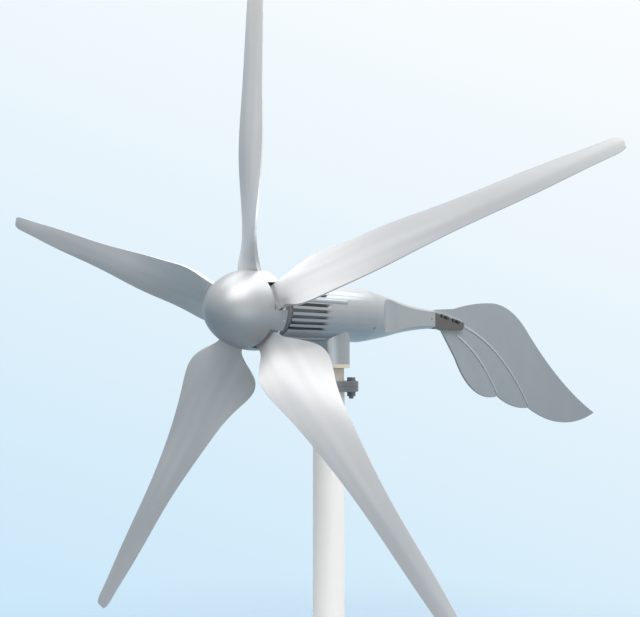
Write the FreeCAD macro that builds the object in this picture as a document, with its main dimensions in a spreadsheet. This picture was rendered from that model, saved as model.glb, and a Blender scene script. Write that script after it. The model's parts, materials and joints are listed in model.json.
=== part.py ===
"""Small wind turbine on a mast.

Five twisted blades are clamped in a hub behind a bullet-shaped nose cone.  The hub turns a permanent
magnet generator in a finned casing, which swivels on a flanged mast.  A tail vane of three feathers
turns the head into the wind.

The mast stands on the Z axis with its base flange on the ground plane.  The rotor faces -Y.  Places on
the head are measured from the blade plane along +Y and from the rotor axis along +Z.
"""
import FreeCAD, Part
import math
import os
import Sketcher
from FreeCAD import Placement, Rotation, Vector

os.makedirs("parts", exist_ok=True)
doc = FreeCAD.newDocument("wind_turbine")
sheet = doc.addObject("Spreadsheet::Sheet", "Sizes")


# ---------------------------------------------------------------------------------------------
# Sizes: every driving dimension is one named cell, in millimetres or degrees
# ---------------------------------------------------------------------------------------------

class Size:
    """A dimension that keeps its number together with the sheet expression it comes from."""

    def __init__(self, value, text):
        self.value = float(value)
        self.text = text

    def __add__(self, other):
        other = as_size(other)
        return Size(self.value + other.value, f"({self.text} + {other.text})")

    def __radd__(self, other):
        return as_size(other) + self

    def __sub__(self, other):
        other = as_size(other)
        return Size(self.value - other.value, f"({self.text} - {other.text})")

    def __rsub__(self, other):
        return as_size(other) - self

    def __mul__(self, other):
        other = as_size(other)
        return Size(self.value * other.value, f"({self.text} * {other.text})")

    def __rmul__(self, other):
        return as_size(other) * self

    def __truediv__(self, other):
        other = as_size(other)
        return Size(self.value / other.value, f"({self.text} / {other.text})")

    def __neg__(self):
        return Size(-self.value, f"(0 - {self.text})")


def as_size(number):
    """Wraps a plain number so that it can be mixed with sizes."""
    if isinstance(number, Size):
        return number
    return Size(number, f"({number:.10g})")


def cosine(angle):
    """Cosine of an angle given in degrees."""
    return Size(math.cos(math.radians(angle.value)), f"cos({angle.text})")


def sine(angle):
    """Sine of an angle given in degrees."""
    return Size(math.sin(math.radians(angle.value)), f"sin({angle.text})")


named_sizes = []


def size(name, value):
    """Writes one driving dimension into the sheet and returns it."""
    named_sizes.append(name)
    row = len(named_sizes)
    sheet.set(f"A{row}", name)
    sheet.set(f"B{row}", f"{value:g}")
    sheet.setAlias(f"B{row}", name)
    return Size(value, f"Sizes.{name}")


# Overall arrangement
hub_height = size("hub_height", 840)            # rotor axis above the ground plane
yaw_offset = size("yaw_offset", 271)            # blade plane to mast axis

# Nose cone
cone_radius = size("cone_radius", 80)
cone_length = size("cone_length", 126)
cone_wall = size("cone_wall", 3)
cone_rim_y = size("cone_rim_y", 17)
notch_margin = size("notch_margin", 3.5)        # cone notch past each edge of a blade root
notch_depth = size("notch_depth", 36)
cone_screw_radius = size("cone_screw_radius", 2.4)
cone_screw_length = size("cone_screw_length", 9)

# Hub
blade_count = 5
blade_turn = size("blade_turn", 0.9)            # how far the first blade leans off vertical
front_plate_radius = size("front_plate_radius", 62)
front_plate_thickness = size("front_plate_thickness", 6)
rear_plate_thickness = size("rear_plate_thickness", 9)
plate_edge_clearance = size("plate_edge_clearance", 0.6)
seat_clearance = size("seat_clearance", 0.05)
inner_bolt_radius = size("inner_bolt_radius", 51)
outer_bolt_radius = size("outer_bolt_radius", 64)
bolt_spread = size("bolt_spread", 15)
blade_bolt_radius = size("blade_bolt_radius", 4)
blade_bolt_hole = size("blade_bolt_hole", 4.3)
blade_bolt_head = size("blade_bolt_head", 6.5)
blade_bolt_head_height = size("blade_bolt_head_height", 6)
blade_nut_flats = size("blade_nut_flats", 13)
blade_nut_height = size("blade_nut_height", 6.5)
blade_bolt_past_nut = size("blade_bolt_past_nut", 2.5)

# Blade: a clamped tab, then lofted sections.  The tip leans downwind.
tab_thickness = size("tab_thickness", 12.4)
tab_width = size("tab_width", 50)
tab_start = size("tab_start", 40)
tab_end = size("tab_end", 78)
tip_lean = size("tip_lean", 40)
blade_tip = size("blade_tip", 775)

# Shaft line
shaft_radius = size("shaft_radius", 10)
shaft_thread_radius = size("shaft_thread_radius", 8)
shaft_thread_length = size("shaft_thread_length", 20)
hub_boss_radius = size("hub_boss_radius", 19)
hub_boss_length = size("hub_boss_length", 12)
shaft_washer_radius = size("shaft_washer_radius", 15)
shaft_washer_thickness = size("shaft_washer_thickness", 2.5)
shaft_nut_flats = size("shaft_nut_flats", 24)
shaft_nut_height = size("shaft_nut_height", 13)
key_width = size("key_width", 6)
key_height = size("key_height", 6)
hub_sleeve_radius = size("hub_sleeve_radius", 14)
shaft_shoulder_radius = size("shaft_shoulder_radius", 13)
shaft_tail = size("shaft_tail", 4)                # shaft past its rear bearing
thread_relief = size("thread_relief", 0.5)

# Rotor bearings
bearing_outer = size("bearing_outer", 23.5)
bearing_width = size("bearing_width", 14)
bearing_race = size("bearing_race", 3.6)
ball_radius = size("ball_radius", 2.85)
bearing_ball_count = 8

# Casing
cover_front_y = size("cover_front_y", 38)
cover_nose_radius = size("cover_nose_radius", 40)
cover_rim_radius = size("cover_rim_radius", 58)
cover_ear = size("cover_ear", 8)                  # thickness of an ear, and of the rim between them
cover_web = size("cover_web", 4)
cover_spigot = size("cover_spigot", 6)
spigot_wall = size("spigot_wall", 5)
bearing_seat_wall = size("bearing_seat_wall", 6)
sleeve_hole_gap = size("sleeve_hole_gap", 0.6)
spot_face_margin = size("spot_face_margin", 0.5)
casing_front_y = size("casing_front_y", 62)
casing_radius = size("casing_radius", 60)
casing_bore = size("casing_bore", 46)
casing_end_y = size("casing_end_y", 378)
rear_cavity_radius = size("rear_cavity_radius", 52)
stator_room = size("stator_room", 96)
bulkhead_thickness = size("bulkhead_thickness", 24)
front_seat_y = size("front_seat_y", 50)
seal_width = size("seal_width", 6)
seal_seat_radius = size("seal_seat_radius", 19)
seal_gap = size("seal_gap", 0.3)
shaft_hole_gap = size("shaft_hole_gap", 2)

# Fins and bolt bosses
boss_angle = size("boss_angle", 22)
boss_radius = size("boss_radius", 6)
boss_circle = size("boss_circle", 56.5)
boss_length = size("boss_length", 196)
cover_bolt_radius = size("cover_bolt_radius", 2.5)
cover_bolt_head = size("cover_bolt_head", 4.5)
cover_bolt_head_height = size("cover_bolt_head_height", 5)
cover_bolt_depth = size("cover_bolt_depth", 32)
fin_gap = size("fin_gap", 6.6)
fin_depth = size("fin_depth", 8)
fin_pitch = size("fin_pitch", 12)               # degrees from one gap to the next
fin_from_boss = size("fin_from_boss", 10.5)     # degrees from a boss to the nearest gap
fin_length = size("fin_length", 122)
fin_run_out = size("fin_run_out", 16)
gaps_below_boss = 5
gaps_above_boss = 2

# Generator
stator_front_gap = size("stator_front_gap", 24)
stator_length = size("stator_length", 54)
stator_inner = size("stator_inner", 29)
stator_slot_root = size("stator_slot_root", 40)
slot_width = size("slot_width", 7)
slot_count = 12
coil_overhang = size("coil_overhang", 9)
coil_clearance = size("coil_clearance", 0.2)
coil_inset = size("coil_inset", 2)                # coil legs back from the tooth faces
end_turn_inset = size("end_turn_inset", 2.5)
end_turn_height = size("end_turn_height", 7.5)
air_gap = size("air_gap", 1.2)
magnet_thickness = size("magnet_thickness", 5)
magnet_angle = size("magnet_angle", 38)
magnet_count = 8

# Yaw neck, measured down from the rotor axis
neck_radius = size("neck_radius", 45)
neck_drop = size("neck_drop", 108)
neck_cap_thickness = size("neck_cap_thickness", 8)
yaw_shaft_radius = size("yaw_shaft_radius", 15)
yaw_bearing_outer = size("yaw_bearing_outer", 31)
yaw_bearing_width = size("yaw_bearing_width", 16)
yaw_bearing_race = size("yaw_bearing_race", 4.2)
yaw_ball_radius = size("yaw_ball_radius", 3.5)
yaw_bearing_apart = size("yaw_bearing_apart", 15)
yaw_ball_count = 9
yaw_lip = size("yaw_lip", 4)
yaw_shaft_bore = size("yaw_shaft_bore", 5)
yaw_shoulder_radius = size("yaw_shoulder_radius", 18)
yaw_seal_inner = size("yaw_seal_inner", 18.3)
yaw_seal_outer = size("yaw_seal_outer", 21.5)
yaw_gap = size("yaw_gap", 0.5)
yaw_seal_lip = size("yaw_seal_lip", 1)
yaw_shaft_rise = size("yaw_shaft_rise", 12)       # shaft above its circlip
circlip_play = size("circlip_play", 0.1)
circlip_thickness = size("circlip_thickness", 2)
circlip_width = size("circlip_width", 2.6)
cap_screw_radius = size("cap_screw_radius", 2)
cap_screw_circle = size("cap_screw_circle", 38)
cap_screw_length = size("cap_screw_length", 18)

# Slip rings
drum_radius = size("drum_radius", 12)
drum_length = size("drum_length", 34)
ring_radius = size("ring_radius", 14.5)
ring_width = size("ring_width", 5)
ring_pitch = size("ring_pitch", 9)
ring_count = 3
brush_gap = size("brush_gap", 0.3)
brush_length = size("brush_length", 6)
brush_width = size("brush_width", 6)
brush_inset = size("brush_inset", 0.5)            # brush edge back from the edge of its ring
brush_holder_depth = size("brush_holder_depth", 12)
brush_holder_width = size("brush_holder_width", 18)
brush_foot = size("brush_foot", 30)
brush_holder_lift = size("brush_holder_lift", 1)

# Mast
stub_radius = size("stub_radius", 33)
stub_length = size("stub_length", 27.5)
flange_radius = size("flange_radius", 63.5)
flange_thickness = size("flange_thickness", 11)
flange_bolt_circle = size("flange_bolt_circle", 49.5)
flange_bolt_radius = size("flange_bolt_radius", 5)
flange_bolt_hole = size("flange_bolt_hole", 5.5)
flange_bolt_flats = size("flange_bolt_flats", 16)
flange_bolt_head_height = size("flange_bolt_head_height", 6.4)
flange_nut_height = size("flange_nut_height", 8)
flange_bolt_past_nut = size("flange_bolt_past_nut", 5)
flange_washer_radius = size("flange_washer_radius", 10)
flange_washer_thickness = size("flange_washer_thickness", 2)
flange_bolt_turn = size("flange_bolt_turn", 20)
flange_bolt_count = 4
upper_flange_bore = size("upper_flange_bore", 15)
mast_radius = size("mast_radius", 34)
mast_wall = size("mast_wall", 3.5)
base_radius = size("base_radius", 90)
base_thickness = size("base_thickness", 12)
base_hole_circle = size("base_hole_circle", 70)
base_hole_radius = size("base_hole_radius", 6.5)
base_hole_count = 4
gusset_height = size("gusset_height", 55)
gusset_reach = size("gusset_reach", 48)
gusset_thickness = size("gusset_thickness", 6)
gusset_toe = size("gusset_toe", 4)                # height of a gusset at its outer end
gusset_top = size("gusset_top", 6)                # width of a gusset at its top

# Tail shell
shell_mid_y = size("shell_mid_y", 530)
shell_mid_radius = size("shell_mid_radius", 40)
shell_end_y = size("shell_end_y", 715)
shell_end_radius = size("shell_end_radius", 23)
shell_swell = size("shell_swell", 2000)         # radius of curvature of the swelling half
shell_hollow = size("shell_hollow", 1800)       # radius of curvature of the waisted half
shell_wall = size("shell_wall", 4.5)
shell_waist_y = size("shell_waist_y", 425)      # where the hollow narrows to pass between the cheeks
shell_waist_bore = size("shell_waist_bore", 33)
shell_bore_end_y = size("shell_bore_end_y", 645)
shell_bore_end = size("shell_bore_end", 15)
shell_spigot = size("shell_spigot", 12)
spigot_clearance = size("spigot_clearance", 0.1)
cheek_start_y = size("cheek_start_y", 400)
cheek_start_half = size("cheek_start_half", 58.5)
cheek_knee_y = size("cheek_knee_y", 436)
cheek_knee_half = size("cheek_knee_half", 40.5)
cheek_flat_y = size("cheek_flat_y", 505)
cheek_flat_half = size("cheek_flat_half", 31)
cheek_end_half = size("cheek_end_half", 14)
cheek_blend = size("cheek_blend", 180)
shell_screw_radius = size("shell_screw_radius", 2.5)
shell_screw_length = size("shell_screw_length", 12)

# Tail clamp
tenon_length = size("tenon_length", 40)
tenon_half_height = size("tenon_half_height", 16)
tenon_clearance = size("tenon_clearance", 0.1)
clamp_end_y = size("clamp_end_y", 875)
clamp_thickness = size("clamp_thickness", 8.5)
clamp_front_half = size("clamp_front_half", 23)
clamp_end_radius = size("clamp_end_radius", 12.5)
clamp_end_bottom = size("clamp_end_bottom", -24)
clamp_slot_width = size("clamp_slot_width", 9)
clamp_slot_length = size("clamp_slot_length", 46)
clamp_slot_depth = size("clamp_slot_depth", 3)
clamp_slot_pitch = size("clamp_slot_pitch", 60)
clamp_slot_y = size("clamp_slot_y", 769)
clamp_slot_z = size("clamp_slot_z", 7)
clamp_slope = size("clamp_slope", 9)
tail_bolt_radius = size("tail_bolt_radius", 3)
tail_bolt_hole = size("tail_bolt_hole", 3.2)
tail_bolt_apart = size("tail_bolt_apart", 26)
tail_bolt_head = size("tail_bolt_head", 4.2)
tail_bolt_head_height = size("tail_bolt_head_height", 4)
tail_nut_flats = size("tail_nut_flats", 8)
tail_nut_height = size("tail_nut_height", 4.5)
tail_screw_radius = size("tail_screw_radius", 3)

# Tail vane
vane_thickness = size("vane_thickness", 5)
vane_gap = size("vane_gap", 0.1)
vane_front_y = size("vane_front_y", 740)
vane_saddle_bend = size("vane_saddle_bend", 1300)
vane_crest_bend = size("vane_crest_bend", 390)
vane_back_bend = size("vane_back_bend", 2000)
long_feather_bend = size("long_feather_bend", 900)
middle_feather_bend = size("middle_feather_bend", 470)
short_feather_bend = size("short_feather_bend", 255)
short_line_bend = size("short_line_bend", 550)
middle_line_bend = size("middle_line_bend", 800)
rib_width = size("rib_width", 7)
rib_height = size("rib_height", 1.4)


OVERCUT = 1                                     # how far a cut starts before a face or runs past it
ROUND_END = 1.01                                # bend of a round end, as a share of its half width


# ---------------------------------------------------------------------------------------------
# Drawing helpers
# ---------------------------------------------------------------------------------------------

HEAD = "head"                                   # origin where the rotor axis meets the blade plane
NECK = "neck"                                   # origin where the rotor axis meets the mast axis
GROUND = "ground"                               # origin on the ground under the mast


def place(item, frame, axis=Vector(0, 1, 0), angle=None):
    """Puts a sub-part's own origin at one of the three reference points."""
    turn = Rotation(axis, angle.value) if angle is not None else Rotation()
    item.Placement = Placement(Vector(0, 0, 0), turn)
    if frame == HEAD:
        item.setExpression("Placement.Base.y", f"0 - {yaw_offset.text}")
    if frame in (HEAD, NECK):
        item.setExpression("Placement.Base.z", hub_height.text)
    if angle is not None:
        item.setExpression("Placement.Rotation.Angle", angle.text)


def new_body(name, frame, axis=Vector(0, 1, 0), angle=None):
    """Starts one sub-part."""
    body = doc.addObject("PartDesign::Body", name)
    body.Label = name
    place(body, frame, axis, angle)
    sub_parts.append(body)
    return body


sub_parts = []


def origin_plane(body, name):
    """One of the body's own three origin planes: XY, XZ or YZ."""
    planes = [item for item in body.Origin.OriginFeatures if item.Role == name + "_Plane"]
    return planes[0]


def new_sketch(body, plane, lift=None, slide=None, turn=None, turn_axis=Vector(0, 0, 1)):
    """A sketch on one of the body's origin planes, lifted along its normal, slid up and turned."""
    sketch = body.newObject("Sketcher::SketchObject", body.Name + "_sketch")
    sketch.AttachmentSupport = [(origin_plane(body, plane), "")]
    sketch.MapMode = "FlatFace"
    if turn is not None:
        sketch.AttachmentOffset = Placement(Vector(0, 0, 0), Rotation(turn_axis, turn.value))
        sketch.setExpression("AttachmentOffset.Rotation.Angle", turn.text)
    if lift is not None:
        sketch.setExpression("AttachmentOffset.Base.z", as_size(lift).text)
    if slide is not None:
        sketch.setExpression("AttachmentOffset.Base.y", as_size(slide).text)
    return sketch


def tie(sketch, kind, target, amount):
    """Adds a dimension from the sketch's origin, or a radius, and binds it to the sheet."""
    amount = as_size(amount)
    if kind == "Radius":
        number = sketch.addConstraint(Sketcher.Constraint(kind, target[0], amount.value))
    elif amount.value == 0 and "Sizes" not in amount.text:
        axis = -2 if kind == "DistanceX" else -1
        sketch.addConstraint(Sketcher.Constraint("PointOnObject", target[0], target[1], axis))
        return
    else:
        number = sketch.addConstraint(Sketcher.Constraint(kind, -1, 1, target[0], target[1], amount.value))
    if "Sizes" in amount.text:
        sketch.setExpression(f"Constraints[{number}]", amount.text)


def arc_between(start, end, bend):
    """An arc of signed radius: a positive one has its centre on the left of the way from start to end."""
    chord = end - start
    half = chord.Length / 2
    left = Vector(-chord.y, chord.x, 0).normalize()
    reach = math.sqrt(max(bend * bend - half * half, 0))
    centre = (start + end) * 0.5 + left * math.copysign(reach, bend)
    middle = centre - left * bend
    return Part.Arc(start, middle, end)


def outline(sketch, corners):
    """A closed outline.  A corner is (x, y), or (x, y, bend) where an arc leads on to the next one."""
    corners = [tuple(corner) + (None,) * (3 - len(corner)) for corner in corners]
    points = [Vector(as_size(x).value, as_size(y).value, 0) for x, y, bend in corners]
    ends = []
    for number, corner in enumerate(corners):
        start = points[number]
        end = points[(number + 1) % len(points)]
        if corner[2] is None:
            edge = sketch.addGeometry(Part.LineSegment(start, end), False)
            ends.append((edge, 1, 2))
        else:
            bend = as_size(corner[2])
            edge = sketch.addGeometry(arc_between(start, end, bend.value), False)
            forward = sketch.getPoint(edge, 1).distanceToPoint(start) < 1e-6
            ends.append((edge, 1, 2) if forward else (edge, 2, 1))
    for number, (edge, first, last) in enumerate(ends):
        following = ends[(number + 1) % len(ends)]
        sketch.addConstraint(Sketcher.Constraint("Coincident", edge, last, following[0], following[1]))
    for (edge, first, last), corner in zip(ends, corners):
        tie(sketch, "DistanceX", (edge, first), corner[0])
        tie(sketch, "DistanceY", (edge, first), corner[1])
        if corner[2] is not None:
            bend = as_size(corner[2])
            tie(sketch, "Radius", (edge,), bend if bend.value > 0 else -bend)


def rectangle(sketch, left, right, bottom, top):
    """A rectangle from its four sides."""
    outline(sketch, [(left, bottom), (right, bottom), (right, top), (left, top)])


def circle(sketch, x, y, radius):
    """A circle from its centre and radius."""
    centre = Vector(as_size(x).value, as_size(y).value, 0)
    edge = sketch.addGeometry(Part.Circle(centre, Vector(0, 0, 1), as_size(radius).value), False)
    tie(sketch, "Radius", (edge,), radius)
    tie(sketch, "DistanceX", (edge, 3), x)
    tie(sketch, "DistanceY", (edge, 3), y)


def hexagon(sketch, x, y, flats):
    """A regular hexagon from its centre and its width across flats."""
    reach = as_size(flats) / math.sqrt(3)
    corners = []
    for number in range(6):
        angle = math.radians(60 * number)
        corners.append((x + reach * math.cos(angle), y + reach * math.sin(angle)))
    outline(sketch, corners)


def add_feature(body, kind, sketch):
    """One PartDesign feature made from a sketch."""
    feature = body.newObject("PartDesign::" + kind, body.Name + "_" + kind.lower())
    feature.Profile = sketch
    return feature


def pad(body, sketch, length, reverse=False, both_ways=False, cut=False):
    """Raises a sketch by a length, or cuts it away."""
    feature = add_feature(body, "Pocket" if cut else "Pad", sketch)
    feature.Length = as_size(length).value
    feature.setExpression("Length", as_size(length).text)
    feature.SideType = "Symmetric" if both_ways else "One side"
    feature.Reversed = reverse
    return feature


def cut(body, sketch, length, reverse=False, both_ways=False):
    """Cuts a sketch away over a length.  An unreversed cut goes against the sketch's normal."""
    return pad(body, sketch, length, reverse, both_ways, cut=True)


def spin(body, sketch, axis, groove=False):
    """Turns a sketch once round its own H_Axis or V_Axis, to add or to cut away."""
    feature = add_feature(body, "Groove" if groove else "Revolution", sketch)
    feature.ReferenceAxis = (sketch, [axis])
    feature.Angle = 360
    return feature


def repeat(body, features, sketch, axis, count, span=None, reverse=False):
    """Repeats features round a sketch's axis: all the way round, or over a span of degrees."""
    pattern = body.newObject("PartDesign::PolarPattern", body.Name + "_pattern")
    pattern.Originals = features
    pattern.Axis = (sketch, [axis])
    pattern.Occurrences = count
    pattern.Reversed = reverse
    if span is None:
        pattern.Angle = 360
    else:
        pattern.Angle = span.value
        pattern.setExpression("Angle", span.text)
    body.Tip = pattern
    return pattern


def turned_ring(name, frame, start, end, inner, outer):
    """A plain ring: round the rotor axis on the head, round the mast axis on the neck or mast."""
    body = new_body(name, frame)
    sketch = new_sketch(body, "YZ")
    if frame == HEAD:
        rectangle(sketch, start, end, inner, outer)
        spin(body, sketch, "H_Axis")
    else:
        rectangle(sketch, inner, outer, start, end)
        spin(body, sketch, "V_Axis")
    return body


def bearing(name, frame, start, width, bore, outer, race, ball, count):
    """A ball bearing as three sub-parts: inner ring, outer ring and a set of balls."""
    end = start + width
    turned_ring(name + "_inner_ring", frame, start, end, bore, bore + race)
    turned_ring(name + "_outer_ring", frame, start, end, outer - race, outer)
    balls = new_body(name + "_balls", frame)
    middle = (bore + outer) / 2
    along = start + width / 2
    axis_sketch = new_sketch(balls, "YZ")
    sphere = balls.newObject("PartDesign::AdditiveSphere", name + "_ball")
    sphere.AttachmentSupport = [(origin_plane(balls, "YZ"), "")]
    sphere.MapMode = "FlatFace"
    across, upward = (along, middle) if frame == HEAD else (middle, along)
    sphere.setExpression("AttachmentOffset.Base.x", across.text)
    sphere.setExpression("AttachmentOffset.Base.y", upward.text)
    sphere.setExpression("Radius", ball.text)
    doc.recompute()
    repeat(balls, [sphere], axis_sketch, "H_Axis" if frame == HEAD else "V_Axis", count)


# ---------------------------------------------------------------------------------------------
# Rotor
# ---------------------------------------------------------------------------------------------

plate_seat = tab_thickness / 2 + seat_clearance        # hub plate faces from the blade plane
rotor_core_radius = stator_inner - air_gap - magnet_thickness
front_bearing_end = front_seat_y + bearing_width
rear_bearing_start = casing_front_y + stator_room
rear_bearing_end = rear_bearing_start + bearing_width
stator_start = casing_front_y + stator_front_gap
rear_plate_end = plate_seat + rear_plate_thickness
front_plate_face = -(plate_seat + front_plate_thickness)
rear_plate_radius = cone_radius - cone_wall - plate_edge_clearance
boss_end = rear_plate_end + hub_boss_length


def make_nose_cone():
    """Half an ellipsoid shell with a notch in its rim for each blade root."""
    body = new_body("nose_cone", HEAD)
    for kind, wall in (("Additive", as_size(0)), ("Subtractive", cone_wall)):
        dome = body.newObject(f"PartDesign::{kind}Ellipsoid", f"nose_cone_{kind.lower()}")
        dome.AttachmentSupport = [(origin_plane(body, "XZ"), "")]
        dome.MapMode = "FlatFace"
        dome.AttachmentOffset = Placement(Vector(0, 0, 0), Rotation())
        dome.setExpression("AttachmentOffset.Base.z", f"0 - {cone_rim_y.text}")
        dome.setExpression("Radius1", (cone_length - wall).text)
        dome.setExpression("Radius2", (cone_radius - wall).text)
        dome.setExpression("Radius3", (cone_radius - wall).text)
        dome.Angle1 = 0 if kind == "Additive" else -90
        dome.Angle2 = 90
        dome.Angle3 = 360
    notch = new_sketch(body, "XY")
    half = tab_width / 2 + notch_margin
    rectangle(notch, -half, half, cone_rim_y - notch_depth, cone_rim_y + cone_wall)
    doc.recompute()
    opening = cut(body, notch, cone_radius * 1.2, reverse=True)
    axis_sketch = new_sketch(body, "YZ")
    hole = new_sketch(body, "XY")
    circle(hole, 0, (plate_seat + rear_plate_end) / 2, cone_screw_radius)
    doc.recompute()
    screw_hole = cut(body, hole, cone_radius * 1.2)
    repeat(body, [opening, screw_hole], axis_sketch, "H_Axis", blade_count)
    turn_with_blades(body)
    return body


def turn_with_blades(body):
    """Turns a sub-part round the rotor axis so that it lines up with the first blade."""
    body.Placement.Rotation = Rotation(Vector(0, -1, 0), blade_turn.value)
    body.setExpression("Placement.Rotation.Angle", blade_turn.text)


def make_cone_screws():
    """Radial screws between the blades that hold the nose cone to the rear hub plate."""
    body = new_body("nose_cone_screws", HEAD)
    sketch = new_sketch(body, "XY", lift=-(rear_plate_radius - cone_screw_length + cone_wall))
    circle(sketch, 0, (plate_seat + rear_plate_end) / 2, cone_screw_radius - seat_clearance)
    doc.recompute()
    screw = pad(body, sketch, cone_screw_length, reverse=True)
    axis_sketch = new_sketch(body, "YZ")
    repeat(body, [screw], axis_sketch, "H_Axis", blade_count)
    turn_with_blades(body)


def blade_bolt_places():
    """Bolt centres of the upright blade, across and along it."""
    outer_row = [(side * bolt_spread, outer_bolt_radius) for side in (-1, 1)]
    return [(as_size(0), inner_bolt_radius)] + outer_row


def hub_plate(name, start, end, radius):
    """A round plate bored for the shaft and for the blade bolts."""
    body = new_body(name, HEAD)
    profile = new_sketch(body, "YZ")
    if name == "hub_rear_plate":
        outline(profile, [
            (start, shaft_radius), (front_seat_y, shaft_radius), (front_seat_y, hub_sleeve_radius),
            (boss_end, hub_sleeve_radius), (boss_end, hub_boss_radius), (end, hub_boss_radius),
            (end, radius), (start, radius)])
    else:
        rectangle(profile, start, end, shaft_radius, radius)
    spin(body, profile, "H_Axis")
    holes = new_sketch(body, "XZ", lift=-(start - OVERCUT))
    for x, z in blade_bolt_places():
        circle(holes, x, z, blade_bolt_hole)
    doc.recompute()
    drilled = cut(body, holes, end - start + OVERCUT * 2)
    features = [drilled]
    if name == "hub_rear_plate":
        tapped = new_sketch(body, "XY", lift=-(radius + OVERCUT))
        circle(tapped, 0, (start + end) / 2, cone_screw_radius)
        doc.recompute()
        features.append(cut(body, tapped, cone_screw_length - cone_wall + OVERCUT, reverse=True))
    repeat(body, features, profile, "H_Axis", blade_count)
    turn_with_blades(body)
    return body


def make_hub_rear_plate():
    """The plate that the shaft drives, with its boss, its sleeve up to the bearing and its keyway."""
    body = hub_plate("hub_rear_plate", plate_seat, rear_plate_end, rear_plate_radius)
    keyway = new_sketch(body, "XZ", lift=-(plate_seat - OVERCUT))
    rectangle(keyway, -key_width / 2, key_width / 2, 0, shaft_radius + key_height / 2)
    doc.recompute()
    cut(body, keyway, rear_plate_thickness + hub_boss_length + OVERCUT)


def make_hub_front_plate():
    """The plate that the shaft nut presses on the blade roots."""
    hub_plate("hub_front_plate", front_plate_face, -plate_seat, front_plate_radius)


def blade_station(name, radius, chord, twist, lead, edge, swell):
    """One cross-section of the blade; lead is the way from the pitch axis to the leading edge."""
    return {
        "radius": radius if isinstance(radius, Size) else size(name + "_radius", radius),
        "chord": chord if isinstance(chord, Size) else size(name + "_chord", chord),
        "twist": size(name + "_twist", twist),
        "lead": lead if isinstance(lead, Size) else size(name + "_lead", lead),
        "edge": edge if isinstance(edge, Size) else size(name + "_edge", edge),
        "swell": size(name + "_swell", swell),
    }


blade_stations = [
    blade_station("tab", tab_start, tab_width, 0, tab_width / 2, tab_thickness, 0.05),
    blade_station("neckline", tab_end, tab_width, 2, tab_width / 2, tab_thickness, 0.05),
    blade_station("shoulder", 106, 84, 30, 35, 7, 3),
    blade_station("paddle", 155, 142, 41, 58, 3.5, 5),
    blade_station("waist", 220, 112, 34, 48, 3, 5),
    blade_station("inner", 300, 86, 20, 36, 2.6, 4),
    blade_station("middle", 400, 65, 11, 26.5, 2.4, 3),
    blade_station("outer", 560, 49, 7, 20.5, 2.2, 2),
    blade_station("far", 690, 36, 6, 15.5, 2, 1.3),
    blade_station("tip", 766, 26, 6, 12, 1.8, 0.8),
    blade_station("tip_end", blade_tip, 18, 6, 8.5, 1.6, 0.4),
]


def blade_section(name, cross_section):
    """One closed section: two flat edges joined by two shallow arcs, twisted and leaned into place."""
    sketch = doc.addObject("Sketcher::SketchObject", name)
    past_tab = cross_section["radius"] - tab_end
    twist = cross_section["twist"]
    sketch.Placement = Placement(Vector(0, 0, 0), Rotation(Vector(0, 0, -1), twist.value))
    sketch.setExpression("Placement.Rotation.Angle", twist.text)
    sketch.setExpression("Placement.Base.z", cross_section["radius"].text)
    if past_tab.value > 0:
        sketch.setExpression("Placement.Base.y", (tip_lean * past_tab / (blade_tip - tab_end)).text)
    front = cross_section["lead"]
    chord = cross_section["chord"]
    back = front - chord
    half = cross_section["edge"] / 2
    swell = cross_section["swell"]
    bend = (chord * chord / 4 + swell * swell) / (2 * swell)
    outline(sketch, [(back, -half, bend), (front, -half), (front, half, bend), (back, half)])
    return sketch


def facing_blocks(name):
    """Two blocks that face the tab flat where the hub plates clamp it."""
    blocks = []
    reach = rear_plate_radius + plate_edge_clearance
    for side in ("front", "rear"):
        block = doc.addObject("Part::Box", f"{name}_{side}_face")
        block.setExpression("Length", (tab_width * 2).text)
        block.setExpression("Width", tab_thickness.text)
        block.setExpression("Height", reach.text)
        block.setExpression("Placement.Base.x", (-tab_width).text)
        near = tab_thickness / 2 if side == "rear" else -(tab_thickness * 1.5)
        block.setExpression("Placement.Base.y", near.text)
        blocks.append(block)
    return blocks


def make_blade(number):
    """One blade: a loft through its stations, drilled for its bolts and turned to its place in the hub."""
    name = f"blade_{number + 1}"
    sections = []
    for index, station in enumerate(blade_stations):
        sections.append(blade_section(f"{name}_section_{index}", station))
    loft = doc.addObject("Part::Loft", name + "_loft")
    loft.Sections = sections
    loft.Solid = True
    loft.MaxDegree = 3
    drills = []
    for x, z in blade_bolt_places():
        drill = doc.addObject("Part::Cylinder", name + "_drill")
        drill.Placement = Placement(Vector(0, 0, 0), Rotation(Vector(1, 0, 0), 90))
        drill.setExpression("Radius", blade_bolt_hole.text)
        drill.setExpression("Height", (tab_thickness * 2).text)
        drill.setExpression("Placement.Base.x", x.text)
        drill.setExpression("Placement.Base.y", tab_thickness.text)
        drill.setExpression("Placement.Base.z", z.text)
        drills.append(drill)
    drill_group = doc.addObject("Part::MultiFuse", name + "_drills")
    drill_group.Shapes = drills + facing_blocks(name)
    blade = doc.addObject("Part::Cut", name)
    blade.Label = name
    blade.Base = loft
    blade.Tool = drill_group
    place(blade, HEAD, Vector(0, -1, 0), blade_turn + 360 * number / blade_count)
    sub_parts.append(blade)


def fastener_set(name, frame, centres, parts, count, sketch_plane="XZ"):
    """Screws, bolts or nuts: each of parts is (shape, size, from, to) along the plane's normal."""
    body = new_body(name, frame)
    features = []
    for shape, width, start, end in parts:
        lift = -start if sketch_plane == "XZ" else start
        sketch = new_sketch(body, sketch_plane, lift=lift)
        for x, y in centres:
            if shape == "hexagon":
                hexagon(sketch, x, y, width)
            else:
                circle(sketch, x, y, width)
        doc.recompute()
        features.append(pad(body, sketch, end - start, reverse=sketch_plane == "XZ"))
    axis_sketch = new_sketch(body, "YZ")
    repeat(body, features, axis_sketch, "H_Axis" if sketch_plane == "XZ" else "V_Axis", count)
    return body


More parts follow.
